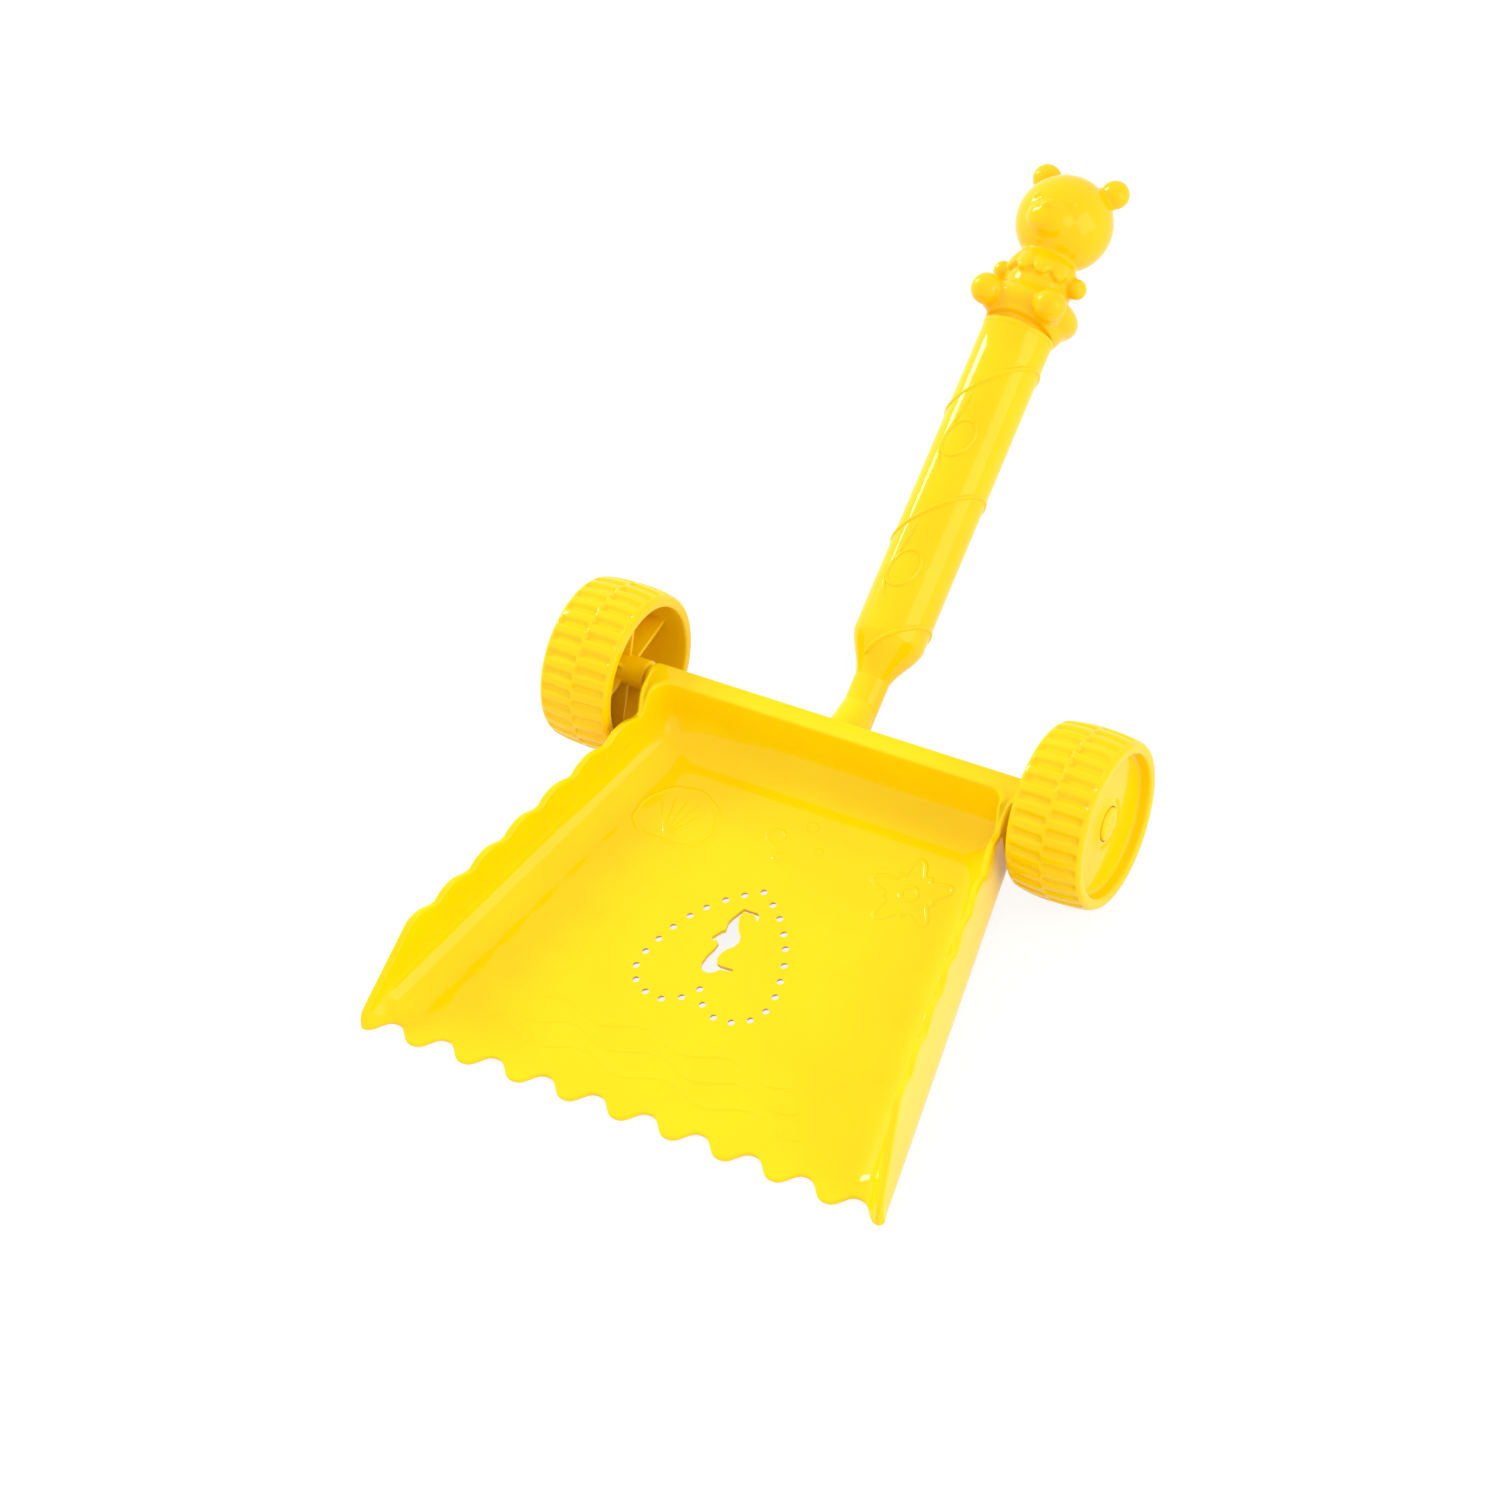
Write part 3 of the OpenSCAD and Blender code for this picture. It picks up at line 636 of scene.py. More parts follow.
def scoop_body(bm):
    """The pan's shell: rows across its toothed front, then one section carried round the walls."""
    floor_xs = [lerp(-1, 1, i / FRONT_STEPS) for i in range(1, FRONT_STEPS)]
    middle = FLOOR_T / 2
    front_rows = [(middle * (1 - math.cos(a)), math.sin(a))
                  for a in map(math.radians, EDGE_TURNS)]
    front_rows += [(y, 1.0) for y in FRONT_ROWS]
    ring = None
    for y, swell in front_rows:
        right = side_section(y)
        count, foot = len(right), right[-PROFILE_STEPS - 1:]
        reach = foot[-1].x
        top = [Vector((x * reach, y, FLOOR_T)) for x in floor_xs]
        flat = [Vector((x * reach, y, 0.0)) for x in floor_xs[::-1]]
        under = foot + flat + mirrored(foot[::-1])
        under = [Vector((p.x, y, 0.0)) for p in under]
        section = mirrored(right) + top + right[::-1] + under
        points = [toothed(Vector((p.x, y, lerp(middle, p.z, swell))), y) for p in section]
        if ring is None:
            ring = start_row(bm, points)
            front = list(ring)
        else:
            ring = grow(bm, ring, points, True)
    span = len(floor_xs)
    left_chain = ring[:count]
    top_row = ring[count:count + span]
    right_chain = ring[count + span:2 * count + span][::-1]
    under_row = ring[2 * count + span:]

    side_rows = [side_section(y) for y in NOSE_ROWS]
    pitch = (SCALLOP_END - NOSE_LEN) / SCALLOPS
    side_rows += [side_section(NOSE_LEN + pitch * i / SCALLOP_STEPS)
                  for i in range(SCALLOP_STEPS * SCALLOPS + 1)]
    corner, corner_x = corner_sections()
    back = []
    for i in range(1, BACK_STEPS):
        x = lerp(corner_x, -corner_x, i / BACK_STEPS)
        back.append(chain(Vector((x, PAN_LEN)), Vector((x, LEDGE_EDGE)), BACK_N, BACK_N, True))
    right_side = side_rows + corner
    rows = [mirrored(s) for s in right_side] + back[::-1] + right_side[::-1]
    row = left_chain
    feet, edges = [left_chain[-1]], [left_chain[0]]
    for section in rows:
        row = grow(bm, row, [toothed(p, p.y) if p.y < FRONT_FADE else p for p in section])
        feet.append(row[-1])
        edges.append(row[0])
    bmesh.ops.bridge_loops(bm, edges=row_edges(bm, row) + row_edges(bm, right_chain))

    # The flat floor, above and below, with its holes
    upper = feet + [right_chain[-1]] + top_row[::-1]
    lower = edges + [right_chain[0]] + under_row
    top_holes, low_holes = [], []
    for outline, below in zip(floor_holes(0.0), floor_holes(HOLE_FLARE)):
        top_holes.append(hole_loop(bm, [(x, y, FLOOR_T) for x, y in outline]))
        low_holes.append(hole_loop(bm, [(x, y, 0.0) for x, y in below]))
    for loop, holes in ((upper, top_holes), (lower, low_holes)):
        bmesh.ops.triangle_fill(bm, use_beauty=True,
                                edges=row_edges(bm, loop, True) + sum(holes, []))
    for above, below in zip(top_holes, low_holes):
        bmesh.ops.bridge_loops(bm, edges=above + below)

    # The foremost ring lies flat at mid-height: its upper and lower side meet and are closed there
    bmesh.ops.remove_doubles(bm, verts=front, dist=0.01)
    rest = [e for e in bm.edges if e.is_boundary]
    bmesh.ops.triangle_fill(bm, use_beauty=False, normal=(0, 0, 1), edges=rest)


# The raised drawing on the floor: half width of a line, how deep it lies and its flatness
DRAWN_R, DRAWN_SINK, DRAWN_FLAT = 0.95, 0.06, 0.27
STAR_AT, STAR_R = (47, 123), 15.0
SHELL_AT, SHELL_R, SHELL_RIB = (-45, 120), 15.0, 12.6
SHELL_FOOT = 112.5
# (x, y, radius) of each bubble, and where each wave lies
BUBBLES = ((-8, 128, 3.2), (2, 136, 2.2), (-3, 120, 1.7), (9, 127, 1.6))
WAVES = (20, 28, 36)
WAVE_H, WAVE_LEN = 2.3, 5.2


def up_z(point):
    return Vector((0, 0, 1))


def even(a):
    return 1.0


def star_edge(a):
    return 0.66 + 0.34 * math.cos(5 * a) * abs(math.cos(2.5 * a))


def shell_edge(a):
    ripple = 0.05 * abs(math.sin(4.5 * (a - 0.35))) * (math.sin(a) > -0.3)
    return 1.0 - 0.42 * max(0.0, -math.sin(a)) ** 2 + ripple


def loop_path(centre, radius, shape, count, turned=0.0):
    """A closed line on the floor whose radius varies with the angle as shape says."""
    path = []
    for i in range(count):
        a = 2 * math.pi * i / count
        r = radius * shape(a)
        path.append(Vector((centre[0] + r * math.cos(a + turned),
                            centre[1] + r * math.sin(a + turned), FLOOR_T)))
    return path


def floor_relief(bm):
    """Low raised line drawings on the floor: a starfish, a scallop shell, bubbles and waves."""
    def draw(path, closed, share=1.0):
        bead(bm, path, DRAWN_R * share, DRAWN_SINK, up_z, closed, flat=DRAWN_FLAT)

    draw(loop_path(STAR_AT, STAR_R, star_edge, 90, 0.5), True)
    draw(loop_path(STAR_AT, STAR_R / 5, even, 24), True)
    draw(loop_path(SHELL_AT, SHELL_R, shell_edge, 96), True)
    x, y = SHELL_AT
    for k in range(-2, 3):
        a = math.pi / 2 + 0.42 * k
        base = Vector((x, SHELL_FOOT, FLOOR_T))
        tip = Vector((x + SHELL_RIB * math.cos(a), y + SHELL_RIB * math.sin(a), FLOOR_T))
        draw([base.lerp(tip, t / 10) for t in range(11)], False, 0.8)
    for x, y, r in BUBBLES:
        draw(loop_path((x, y), r, even, 24), True, 0.7)
    for n, y in enumerate(WAVES):
        half = 62 - 6 * n
        draw([Vector((x, y + WAVE_H * math.sin(x / WAVE_LEN + n * 1.6), FLOOR_T))
              for x in range(-half, half + 1)], False)


ROD_HOLE_R = 2.3
TUBE_MOUTH_R = 4.1
TUBE_SOFT = 0.5
# Ribs between the axle's tube and the back wall: places as shares of the back's width
RIB_SHARES = (-0.36, -0.18, 0.18, 0.36)
RIB_T = 2.0
RIB_SOFT = 0.3


def scoop_extras(bm):
    """The tube that holds the axle, and the ribs that tie it to the ledge."""
    place = shift(0, AXLE_Y, AXLE_Z) @ turn(90, "Y")
    end = TUBE_END_X
    lathe(bm, [(ROD_HOLE_R, -end), (TUBE_MOUTH_R, -end), (AXLE_TUBE_R, -end + TUBE_SOFT),
               (AXLE_TUBE_R, end - TUBE_SOFT), (TUBE_MOUTH_R, end), (ROD_HOLE_R, end),
               (ROD_HOLE_R, -end)], 40, place)
    high = BACK_H - LEDGE_T
    low = AXLE_Z - AXLE_TUBE_R - NECK_R
    depth = AXLE_Y - PAN_LEN - BACK_T
    middle = PAN_LEN + BACK_T + depth / 2
    for share in RIB_SHARES:
        block(bm, (share * BACK_W, middle, (high + low) / 2), (RIB_T, depth, high - low), RIB_SOFT)
    block(bm, (0, middle, AXLE_Z), (BACK_W - 2 * WALL_T, depth, RIB_T), RIB_SOFT)


# (radius, distance along) up the neck
NECK_ROWS = ((6.4, -5.5), (6.5, 0.0), (6.5, 6.0), (6.4, 14.0), (NECK_R, NECK_LEN - 2),
             (NECK_R - 0.02, NECK_LEN + 0.5))
WEB_SIDES = 32
WEB_STEPS = 8


def neck(bm):
    """The neck, which swells out of the ledge and runs into the grip."""
    to_pan = shift(0, LEDGE_EDGE, HANDLE_Z) @ turn(HANDLE_ANGLE - 90, "X")
    start, end = NECK_ROWS[0][1], NECK_ROWS[-1][1]
    lathe(bm, [(0.0, start), *NECK_ROWS, (0.0, end)], 48, to_pan)
    # The web that blends the neck's top into the ledge
    row = None
    for t in range(WEB_STEPS + 1):
        share = t / WEB_STEPS
        along = lerp(4.0, 19.0, share)
        lift = lerp(7.6, 0.5, ease(share))
        half = lerp(7.4, 5.6, share)
        centre = Vector((0, -lerp(3.0, 0.8, share), along))
        points = []
        for k in range(WEB_SIDES):
            a = 2 * math.pi * k / WEB_SIDES
            rise = (lift - 3.0) * (math.sin(a) < 0) * 0.35 * -math.sin(a)
            flat = lerp(6.8, 5.6, share) * math.sin(a) - rise
            points.append(to_pan @ (centre + Vector((half * math.cos(a), flat, 0))))
        row = start_row(bm, points) if row is None else grow(bm, row, points, True)
        if t == 0:
            cap_row(bm, row)
    cap_row(bm, row)


bm = bmesh.new()
scoop_body(bm)
floor_relief(bm)
scoop_extras(bm)
neck(bm)
publish(bm, "scoop", GROUND, "shovel", yellow, ["scoop_pan"])


# ---------------------------------------------------------------- the grip

def grip_radius(along):
    """The radius of neck, cone or tube at a distance along the handle."""
    t = clamp((along - NECK_LEN) / CONE_LEN)
    return lerp(NECK_R, GRIP_R, (t + ease(t)) / 2)


def grip_surface(angle, along):
    radius = grip_radius(along)
    return Vector((radius * math.sin(angle), -radius * math.cos(angle), along))


def out_of_grip(point):
    return Vector((point.x, point.y, 0)).normalized()


# The raised rings: how far apart, how slanted, and where the lowest lies
RING_REPEAT, RING_SLANT, RING_FIRST = 51.3, 12.5, 36.3
# The curl below a ring, and the oval it runs round: half width, lean and half height
CURL_STEPS, CURL_START, CURL_RUN = 24, 2.0, 34.0
OVAL_STEPS, OVAL_DROP = 40, 22.8
OVAL_W, OVAL_LEAN, OVAL_H = 5.4, 1.4, 7.2
# (radius, how deep it lies) of each kind of raised line
RING_BEAD, CURL_BEAD, OVAL_BEAD = (1.0, 0.45), (0.9, 0.42), (0.8, 0.4)


def grip_relief(bm):
    """Thin raised rings that cross the grip aslant, with curls that run down round an oval."""
    for k in range(3):
        level = RING_FIRST + RING_REPEAT * k
        angles = [math.radians(d) for d in (range(-24, 205, 4) if k == 0 else range(0, 360, 4))]
        ring = [grip_surface(a, level + RING_SLANT * math.sin(a)) for a in angles]
        bead(bm, ring, *RING_BEAD, out_of_grip, k > 0, 10)
    for k in (1, 2):
        level = RING_FIRST + RING_REPEAT * k
        for side in (0.0, math.pi):
            curl = []
            for i in range(CURL_STEPS + 1):
                t = i / CURL_STEPS
                a = math.radians(lerp(-9.0, -26.0, ease(t * 1.4)) + 14.0 * max(0.0, t - 0.7) / 0.3)
                along = level - CURL_START + RING_SLANT * math.sin(a) * (1 - t) - CURL_RUN * t
                curl.append(grip_surface(side + a, along))
            bead(bm, curl, *CURL_BEAD, out_of_grip)
            oval = []
            for i in range(OVAL_STEPS):
                a = 2 * math.pi * i / OVAL_STEPS
                across = OVAL_W * math.cos(a) + OVAL_LEAN * math.sin(a)
                oval.append(grip_surface(side + across / GRIP_R,
                                         level - OVAL_DROP + OVAL_H * math.sin(a)))
            bead(bm, oval, *OVAL_BEAD, out_of_grip, True)


CONE_STEPS = 24
TUBE_STEPS = 12
# (beyond the tube's radius, short of its end) round the rolled end and into the mouth
TUBE_ROLL = ((0.12, 1.9), (0.38, 1.5), (0.4, 1.1), (0.36, 0.5), (0.1, 0.12), (-0.4, 0.0))
MOUTH_ROWS = ((11.4, 0.0), (11.15, 0.3), (11.12, 12.0))


def grip_outline():
    """(radius, distance along) from the neck up the cone and the tube and into its mouth."""
    outline = [(4.5, NECK_LEN), (NECK_R, NECK_LEN)]
    for i in range(1, CONE_STEPS + 1):
        along = NECK_LEN + i / CONE_STEPS * CONE_LEN
        outline.append((grip_radius(along), along))
    start, end = NECK_LEN + CONE_LEN + 1.0, TUBE_END - 2.2
    outline += [(GRIP_R, lerp(start, end, i / TUBE_STEPS)) for i in range(TUBE_STEPS + 1)]
    outline += [(GRIP_R + out, TUBE_END - short) for out, short in TUBE_ROLL]
    return outline + [(radius, TUBE_END - short) for radius, short in MOUTH_ROWS]


bm = bmesh.new()
lathe(bm, grip_outline(), 96)
grip_relief(bm)
publish(bm, "grip", HANDLE, "shovel", grip_painted_shade_yellow, ["handle_grip"], 40.0)


# ---------------------------------------------------------------- the bear

BEAR_UP = 19.0
HEAD_UP = 44.4
HEAD_R = 17.9
SEAT_R = 18.2
SEAT_H = 17.0
SEAT_BACK = 2.4
CHEST_R = 11.6
PETALS = 11
EAR_TURN = 41


def ball(bm, centre, radius, stretch=(1, 1, 1), turned=Matrix.Identity(4)):
    bmesh.ops.create_uvsphere(bm, u_segments=40, v_segments=24, radius=radius,
                              matrix=shift(*centre) @ turned @ Matrix.Diagonal((*stretch, 1.0)))


def limb(bm, start, end, r_start, r_end):
    start, end = Vector(start), Vector(end)
    along = end - start
    facing = along.to_track_quat("Z", "Y").to_matrix().to_4x4()
    bmesh.ops.create_cone(bm, cap_ends=True, segments=32, radius1=r_start, radius2=r_end,
                          depth=along.length,
                          matrix=Matrix.Translation((start + end) / 2) @ facing)


def petal(bm, angle):
    """One drooping petal of the ruffle round the neck."""
    way = turn(math.degrees(angle), "Z") @ shift(0, -10.9, BEAR_UP + 5.6) @ turn(-24, "X")
    bmesh.ops.create_uvsphere(bm, u_segments=24, v_segments=16, radius=1.0,
                              matrix=way @ Matrix.Diagonal((3.7, 2.0, 6.0, 1.0)))


def bear(bm):
    """The bear and its plug, as plain overlapping forms."""
    # The plug in the tube, the seat's foot and the seat
    limb(bm, (0, 0, -10), (0, 0, 4), 11.0, 11.0)
    limb(bm, (0, 0, 0.1), (0, SEAT_BACK / 2, 5), 13.4, 15.2)
    ball(bm, (0, SEAT_BACK, SEAT_H / 2 + 0.9), SEAT_R, (1, 1, 0.47))
    # Belly and chest, with the ruffle on top
    ball(bm, (0, 0.6, BEAR_UP - 2.5), CHEST_R + 0.9, (1.0, 1.0, 1.0))
    ball(bm, (0, 0, BEAR_UP), CHEST_R, (1.0, 1.0, 1.05))
    for k in range(PETALS):
        petal(bm, 2 * math.pi * (k + 0.5) / PETALS)
    ball(bm, (0, 0, BEAR_UP + 9.5), 10.6, (1, 1, 0.36))
    # Head, muzzle and nose
    ball(bm, (0, 0, HEAD_UP), HEAD_R)
    ball(bm, (0, -HEAD_R + 5.9, HEAD_UP - 4.2), 8.3, (1.15, 0.92, 0.92))
    ball(bm, (0, -HEAD_R - 1.0, HEAD_UP - 1.6), 2.1, (1.3, 0.9, 0.85))
    # Ear, eye, arm and leg on each side
    for side in (-1, 1):
        a = math.radians(EAR_TURN)
        out = Vector((side * math.sin(a), 0, math.cos(a)))
        base = Vector((0, 0.6, HEAD_UP))
        ear = base + out * (HEAD_R + 2.95)
        ball(bm, ear, 5.45, (1.0, 0.92, 1.0))
        limb(bm, base + out * 10, ear, 4.4, 4.0)
        eye_way = Vector((side * 0.4, -0.91, 0.12)).normalized()
        ball(bm, Vector((0, 0, HEAD_UP)) + eye_way * (HEAD_R - 0.6), 1.4)
        hand = Vector((side * (CHEST_R + 3.0), -0.8, BEAR_UP + 1.8))
        ball(bm, hand, 3.9)
        limb(bm, (side * 5.5, 0.3, BEAR_UP + 2.6), hand, 4.6, 3.4)
        foot = Vector((side * 12.6, -12.4, 8.4))
        ball(bm, foot, 6.0)
        limb(bm, (side * 7.6, 0, 7.4), foot, 6.0, 5.3)


def remeshed(bm, name, voxel, rounds):
    """Melts overlapping forms into one smooth skin."""
    bmesh.ops.recalc_face_normals(bm, faces=bm.faces)
    rough = bpy.data.meshes.new(name + "_rough")
    bm.to_mesh(rough)
    bm.free()
    carrier = bpy.data.objects.new(name + "_rough", rough)
    scene.collection.objects.link(carrier)
    skin = carrier.modifiers.new("skin", "REMESH")
    skin.mode = "VOXEL"
    skin.voxel_size = voxel
    relax = carrier.modifiers.new("relax", "SMOOTH")
    relax.factor = 0.5
    relax.iterations = rounds
    bpy.context.view_layer.update()
    melted = carrier.evaluated_get(bpy.context.evaluated_depsgraph_get())
    final = bpy.data.meshes.new_from_object(melted)
    bpy.data.objects.remove(carrier)
    smooth = bmesh.new()
    smooth.from_mesh(final)
    bpy.data.meshes.remove(final)
    bpy.data.meshes.remove(rough)
    return smooth


bm = bmesh.new()
bear(bm)
bm = remeshed(bm, "bear", 0.6, 8)
publish(bm, "bear", HANDLE @ shift(0, 0, TUBE_END), "shovel", bear_painted_shade_yellow,
        ["bear_topper"], 180.0, merge=False)


# ---------------------------------------------------------------- the wheels

RIBS = 30
RING = 360
TREAD_H = 1.15
# How far the tread falls away towards the wheel's sides, and how late
SHOULDER_DROP, SHOULDER_CURVE = 1.4, 2.4
# Shares of a tread pitch: a rib's flank, and where its far flank starts
FLANK, RIB_WIDE = 0.22, 0.6
# The zigzag between the two rows of ribs: its swing, and where it starts and ends across
ZIGZAG = 0.45
RIDGE_FROM, RIDGE_RUN = 0.3, 0.8
# Where the tread sets in at the wheel's sides
TREAD_FROM, TREAD_RUN = 1.2, 1.6
# Rows over half of the tread, in millimetres across the wheel
TREAD_ROWS = (1.3, 1.8, 2.3, 2.9, 3.6, 4.6, 6.0, 8.0, 10.0, 11.6, 12.4, 12.8, 13.1, 13.4, 13.7,
              14.0)
# (radius, z) through the cup from the hub and round the inner shoulder
CUP_ROWS = ((4.6, CUP_DEPTH), (12.0, CUP_DEPTH), (24.0, CUP_DEPTH), (25.1, CUP_DEPTH - 0.4),
            (RIM_IN_R, CUP_DEPTH - 1.4), (RIM_IN_R, 12.0), (RIM_IN_R, 4.0), (RIM_IN_R, 0.9),
            (RIM_IN_R + 0.2, 0.35), (RIM_IN_R + 0.7, 0.05), (RIM_IN_R + 1.2, 0.0),
            (28.2, 0.0), (28.8, 0.08), (29.2, 0.35), (29.42, 0.8))
# (radius, short of the wheel's width) round the outer shoulder
SHOULDER_ROWS = ((29.42, 0.8), (29.2, 0.35), (28.8, 0.08), (28.2, 0.0), (RIM_IN_R + 1.0, 0.0),
                 (RIM_IN_R + 0.45, 0.15), (RIM_IN_R + 0.1, 0.6), (RIM_IN_R, 1.4))
# (radius, beyond the outer disc) over the disc and the ring round the cap
DISC_ROWS = ((RIM_IN_R, 1.2), (RIM_IN_R - 0.4, 0.35), (RIM_IN_R - 1.4, 0.0), (19.0, 0.0),
             (11.0, 0.0), (9.6, 0.1), (8.4, 0.5), (7.3, 1.0), (6.7, 1.1), (6.4, 0.9), (6.35, 0.0),
             (4.6, 0.0))
HUB_OUTLINE = ((2.26, 0.16), (5.1, 0.16), (5.45, 0.3), (HUB_R, 0.7), (HUB_R, 22.0), (2.26, 22.0),
               (2.26, 0.16))
# Spokes: how far they stand out of the cup's floor, and the length that's sunk in hub and rim
SPOKES = 6
SPOKE_T = 1.6
SPOKE_H = 13.6
SPOKE_DEPTH = 12.66
SPOKE_ENDS = 1.6
SPOKE_SOFT = 0.35
CAP_OUTLINE = ((0.0, 0.0), (5.6, 0.0), (CAP_R, 0.3), (CAP_R, 0.9), (5.85, 1.2), (5.4, 1.5),
               (4.6, 1.75), (3.4, 1.95), (1.8, 2.05), (0.0, 2.08))
CAP_RIBS = 5
CAP_RIB = (2.6, 0.7, 0.6)
CAP_RIB_AT = (2.0, 0, 1.85)


def crown(z):
    """The wheel's radius over its ribs at a distance across it."""
    t = abs(z - WHEEL_W / 2) / (WHEEL_W / 2)
    return WHEEL_R - SHOULDER_DROP * t ** SHOULDER_CURVE


def rib(angle, z):
    """1 on a tread rib and 0 in a groove; the two rows are half a pitch apart."""
    def row(offset):
        p = (angle * RIBS / (2 * math.pi) + offset) % 1.0
        return smooth_step(p / FLANK) * (1 - smooth_step((p - RIB_WIDE) / FLANK))
    ridge = z - WHEEL_W / 2 - ZIGZAG * math.cos(angle * RIBS)
    share = smooth_step((abs(ridge) - RIDGE_FROM) / RIDGE_RUN)
    return lerp(1.0, row(0.0) if ridge < 0 else row(0.5), share)


def wheel_rows():
    """(radius, z, whether it has tread) from the cup, over the tread and over the outer disc."""
    inner = [(crown(z), z, True) for z in TREAD_ROWS]
    outer = [(r, WHEEL_W - z, True) for r, z, _ in inner[-2::-1]]
    return ([(r, z, False) for r, z in CUP_ROWS] + inner + outer
            + [(r, WHEEL_W - short, False) for r, short in SHOULDER_ROWS]
            + [(r, DISC_OUT + out, False) for r, out in DISC_ROWS])


def wheel_shape(bm):
    """The treaded rim with its outer disc, and the hub and spokes in its cup."""
    row = None
    for radius, z, tread in wheel_rows():
        points = []
        for k in range(RING):
            a = 2 * math.pi * k / RING
            depth = 0.0
            if tread:
                fade = smooth_step((min(z, WHEEL_W - z) - TREAD_FROM) / TREAD_RUN)
                depth = TREAD_H * fade * (1 - rib(a, z))
            points.append(((radius - depth) * math.cos(a), (radius - depth) * math.sin(a), z))
        row = start_row(bm, points) if row is None else grow(bm, row, points, True)
    lathe(bm, HUB_OUTLINE, 48)
    at = shift((RIM_IN_R + HUB_R) / 2, 0, CUP_DEPTH - SPOKE_DEPTH + SPOKE_H / 2)
    for i in range(SPOKES):
        block(bm, (0, 0, 0), (RIM_IN_R - HUB_R + SPOKE_ENDS, SPOKE_T, SPOKE_H), SPOKE_SOFT,
              turn((i + 0.5) * 360 / SPOKES, "Z") @ at)


def cap_shape(bm):
    lathe(bm, CAP_OUTLINE, 48)
    for i in range(CAP_RIBS):
        block(bm, (0, 0, 0), CAP_RIB, 0.2, turn(i * 360 / CAP_RIBS, "Z") @ shift(*CAP_RIB_AT))


for side, word in ((-1, "left"), (1, "right")):
    bm = bmesh.new()
    wheel_shape(bm)
    publish(bm, word + "_tread_wheel", wheel_place(side), word + "_wheel",
            wheel_painted_shade_yellow, [word + "_wheel"], 50.0)
    bm = bmesh.new()
    cap_shape(bm)
    publish(bm, word + "_hub_cap", wheel_place(side) @ shift(0, 0, CAP_IN_X - WHEEL_IN_X), "shovel",
            wheel_painted_shade_yellow, [word + "_axle_cap"], 40.0)

for name in ("axle_rod", "grip_screw"):
    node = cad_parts[name]
    node.data.materials.clear()
    node.data.materials.append(steel)


# ---------------------------------------------------------------- stage, light and camera

def seen_share(finish):
    """1 for rays that show the background: from the camera, or off and through a piece."""
    kinds = [finish.add("ShaderNodeLightPath", output=kind)
             for kind in ("Is Camera Ray", "Is Glossy Ray", "Is Transmission Ray")]
    return kinds[0] + kinds[1] + kinds[2]


# The floor's grey where it lights the pieces and where it's seen, and the glow it's seen with
BOUNCE_TONE = (0.8, 0.8, 0.8, 1)
SEEN_TONE = (0.2, 0.2, 0.2, 1)
FLOOR_GLOW = 0.86
FLOOR_DROP = 0.0003


def stage_finish():
    """A pale floor: it bounces light like white paper, and the camera sees a soft shadow on it."""
    finish = Finish("pale_floor", Roughness=0.9, Specular_IOR_Level=0.0,
                    Emission_Strength=FLOOR_GLOW)
    seen = seen_share(finish)
    tone = finish.blend(seen, BOUNCE_TONE, SEEN_TONE)
    glow = finish.blend(seen, (0, 0, 0, 1), (1, 1, 1, 1))
    return finish.feed(Base_Color=tone, Emission_Color=glow)


def big_floor():
    bm = bmesh.new()
    bmesh.ops.create_grid(bm, x_segments=1, y_segments=1, size=6.0,
                          matrix=shift(0, 0, -FLOOR_DROP))
    mesh = bpy.data.meshes.new("floor")
    bm.to_mesh(mesh)
    bm.free()
    floor = bpy.data.objects.new("floor", mesh)
    mesh.materials.append(stage_finish())
    scene.collection.objects.link(floor)


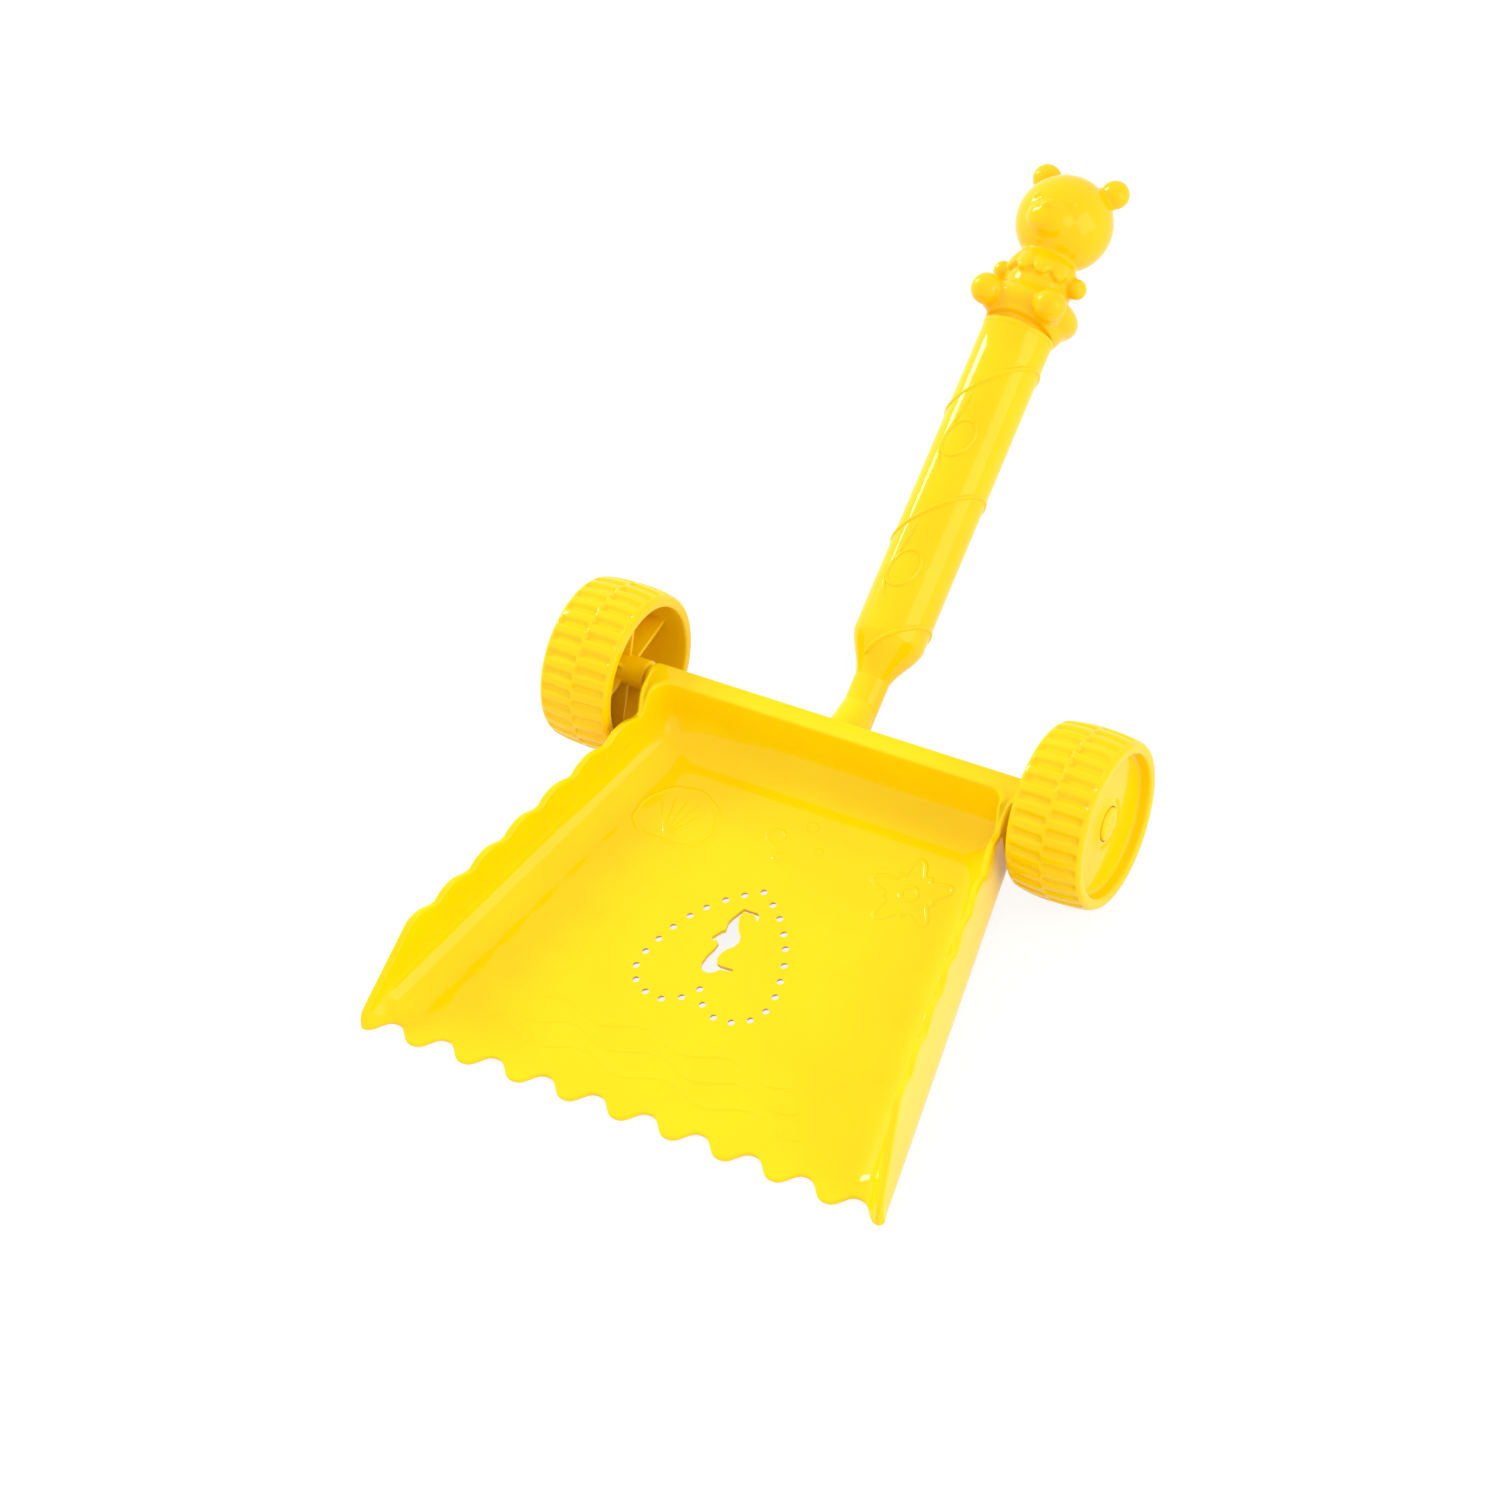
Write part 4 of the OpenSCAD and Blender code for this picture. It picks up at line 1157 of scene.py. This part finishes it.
def studio_world():
    """Even soft light all round, and plain white where the background is seen."""
    world = bpy.data.worlds.new("studio")
    world.use_nodes = True
    scene.world = world
    tree = world.node_tree
    ray = tree.nodes.new("ShaderNodeLightPath")
    level = tree.nodes.new("ShaderNodeMapRange")
    level.inputs["To Min"].default_value = WORLD_LIGHT
    level.inputs["To Max"].default_value = 1.0
    seen = tree.nodes.new("ShaderNodeMath")
    shown = tree.nodes.new("ShaderNodeMath")
    tree.links.new(ray.outputs["Is Camera Ray"], seen.inputs[0])
    tree.links.new(ray.outputs["Is Glossy Ray"], seen.inputs[1])
    tree.links.new(seen.outputs[0], shown.inputs[0])
    tree.links.new(ray.outputs["Is Transmission Ray"], shown.inputs[1])
    tree.links.new(shown.outputs[0], level.inputs["Value"])
    sky = tree.nodes["Background"]
    sky.inputs["Color"].default_value = (1, 1, 1, 1)
    tree.links.new(level.outputs["Result"], sky.inputs["Strength"])


def lamp(name, place, aim, size, watts):
    """A rectangular lamp; place, aim and size are in metres."""
    light = bpy.data.lights.new(name, "AREA")
    light.shape = "RECTANGLE"
    light.size, light.size_y = size
    light.energy = watts
    holder = bpy.data.objects.new(name, light)
    holder.location = place
    holder.rotation_mode = "QUATERNION"
    holder.rotation_quaternion = (Vector(aim) - Vector(place)).to_track_quat("-Z", "Y")
    scene.collection.objects.link(holder)


WORLD_LIGHT = 0.94
# The photograph's camera: where it looks from in degrees, its place in metres, lens and shift
CAMERA_AZ = 35.57
CAMERA_EL = 42.27
CAMERA_ROLL = -8.42
CAMERA_AT = (0.54863, -0.83543, 0.98664)
CAMERA_LENS = 94.14
CAMERA_SHIFT = (0.00429, -0.0883)


def photo_camera():
    a, e, r = (math.radians(v) for v in (CAMERA_AZ, CAMERA_EL, CAMERA_ROLL))
    back = Vector((math.sin(a) * math.cos(e), -math.cos(a) * math.cos(e), math.sin(e)))
    level = Vector((math.cos(a), math.sin(a), 0))
    rise = back.cross(level)
    right = level * math.cos(r) + rise * math.sin(r)
    up = rise * math.cos(r) - level * math.sin(r)
    data = bpy.data.cameras.new("photo_camera")
    data.sensor_width = 36.0
    data.lens = CAMERA_LENS
    data.shift_x, data.shift_y = CAMERA_SHIFT
    data.clip_start, data.clip_end = 0.05, 30.0
    camera = bpy.data.objects.new("photo_camera", data)
    facing = Matrix((right, up, back)).transposed().to_4x4()
    camera.matrix_world = Matrix.Translation(CAMERA_AT) @ facing
    scene.collection.objects.link(camera)
    scene.camera = camera


big_floor()
studio_world()
lamp("key", (-2.02, 0.42, 1.2), (0, 0.1, 0.08), (0.32, 1.1), 26.0)
lamp("right_fill", (2.3, -0.1, 0.95), (0, 0, 0.05), (1.8, 1.8), 19.0)
photo_camera()
scene.view_settings.view_transform = "Standard"
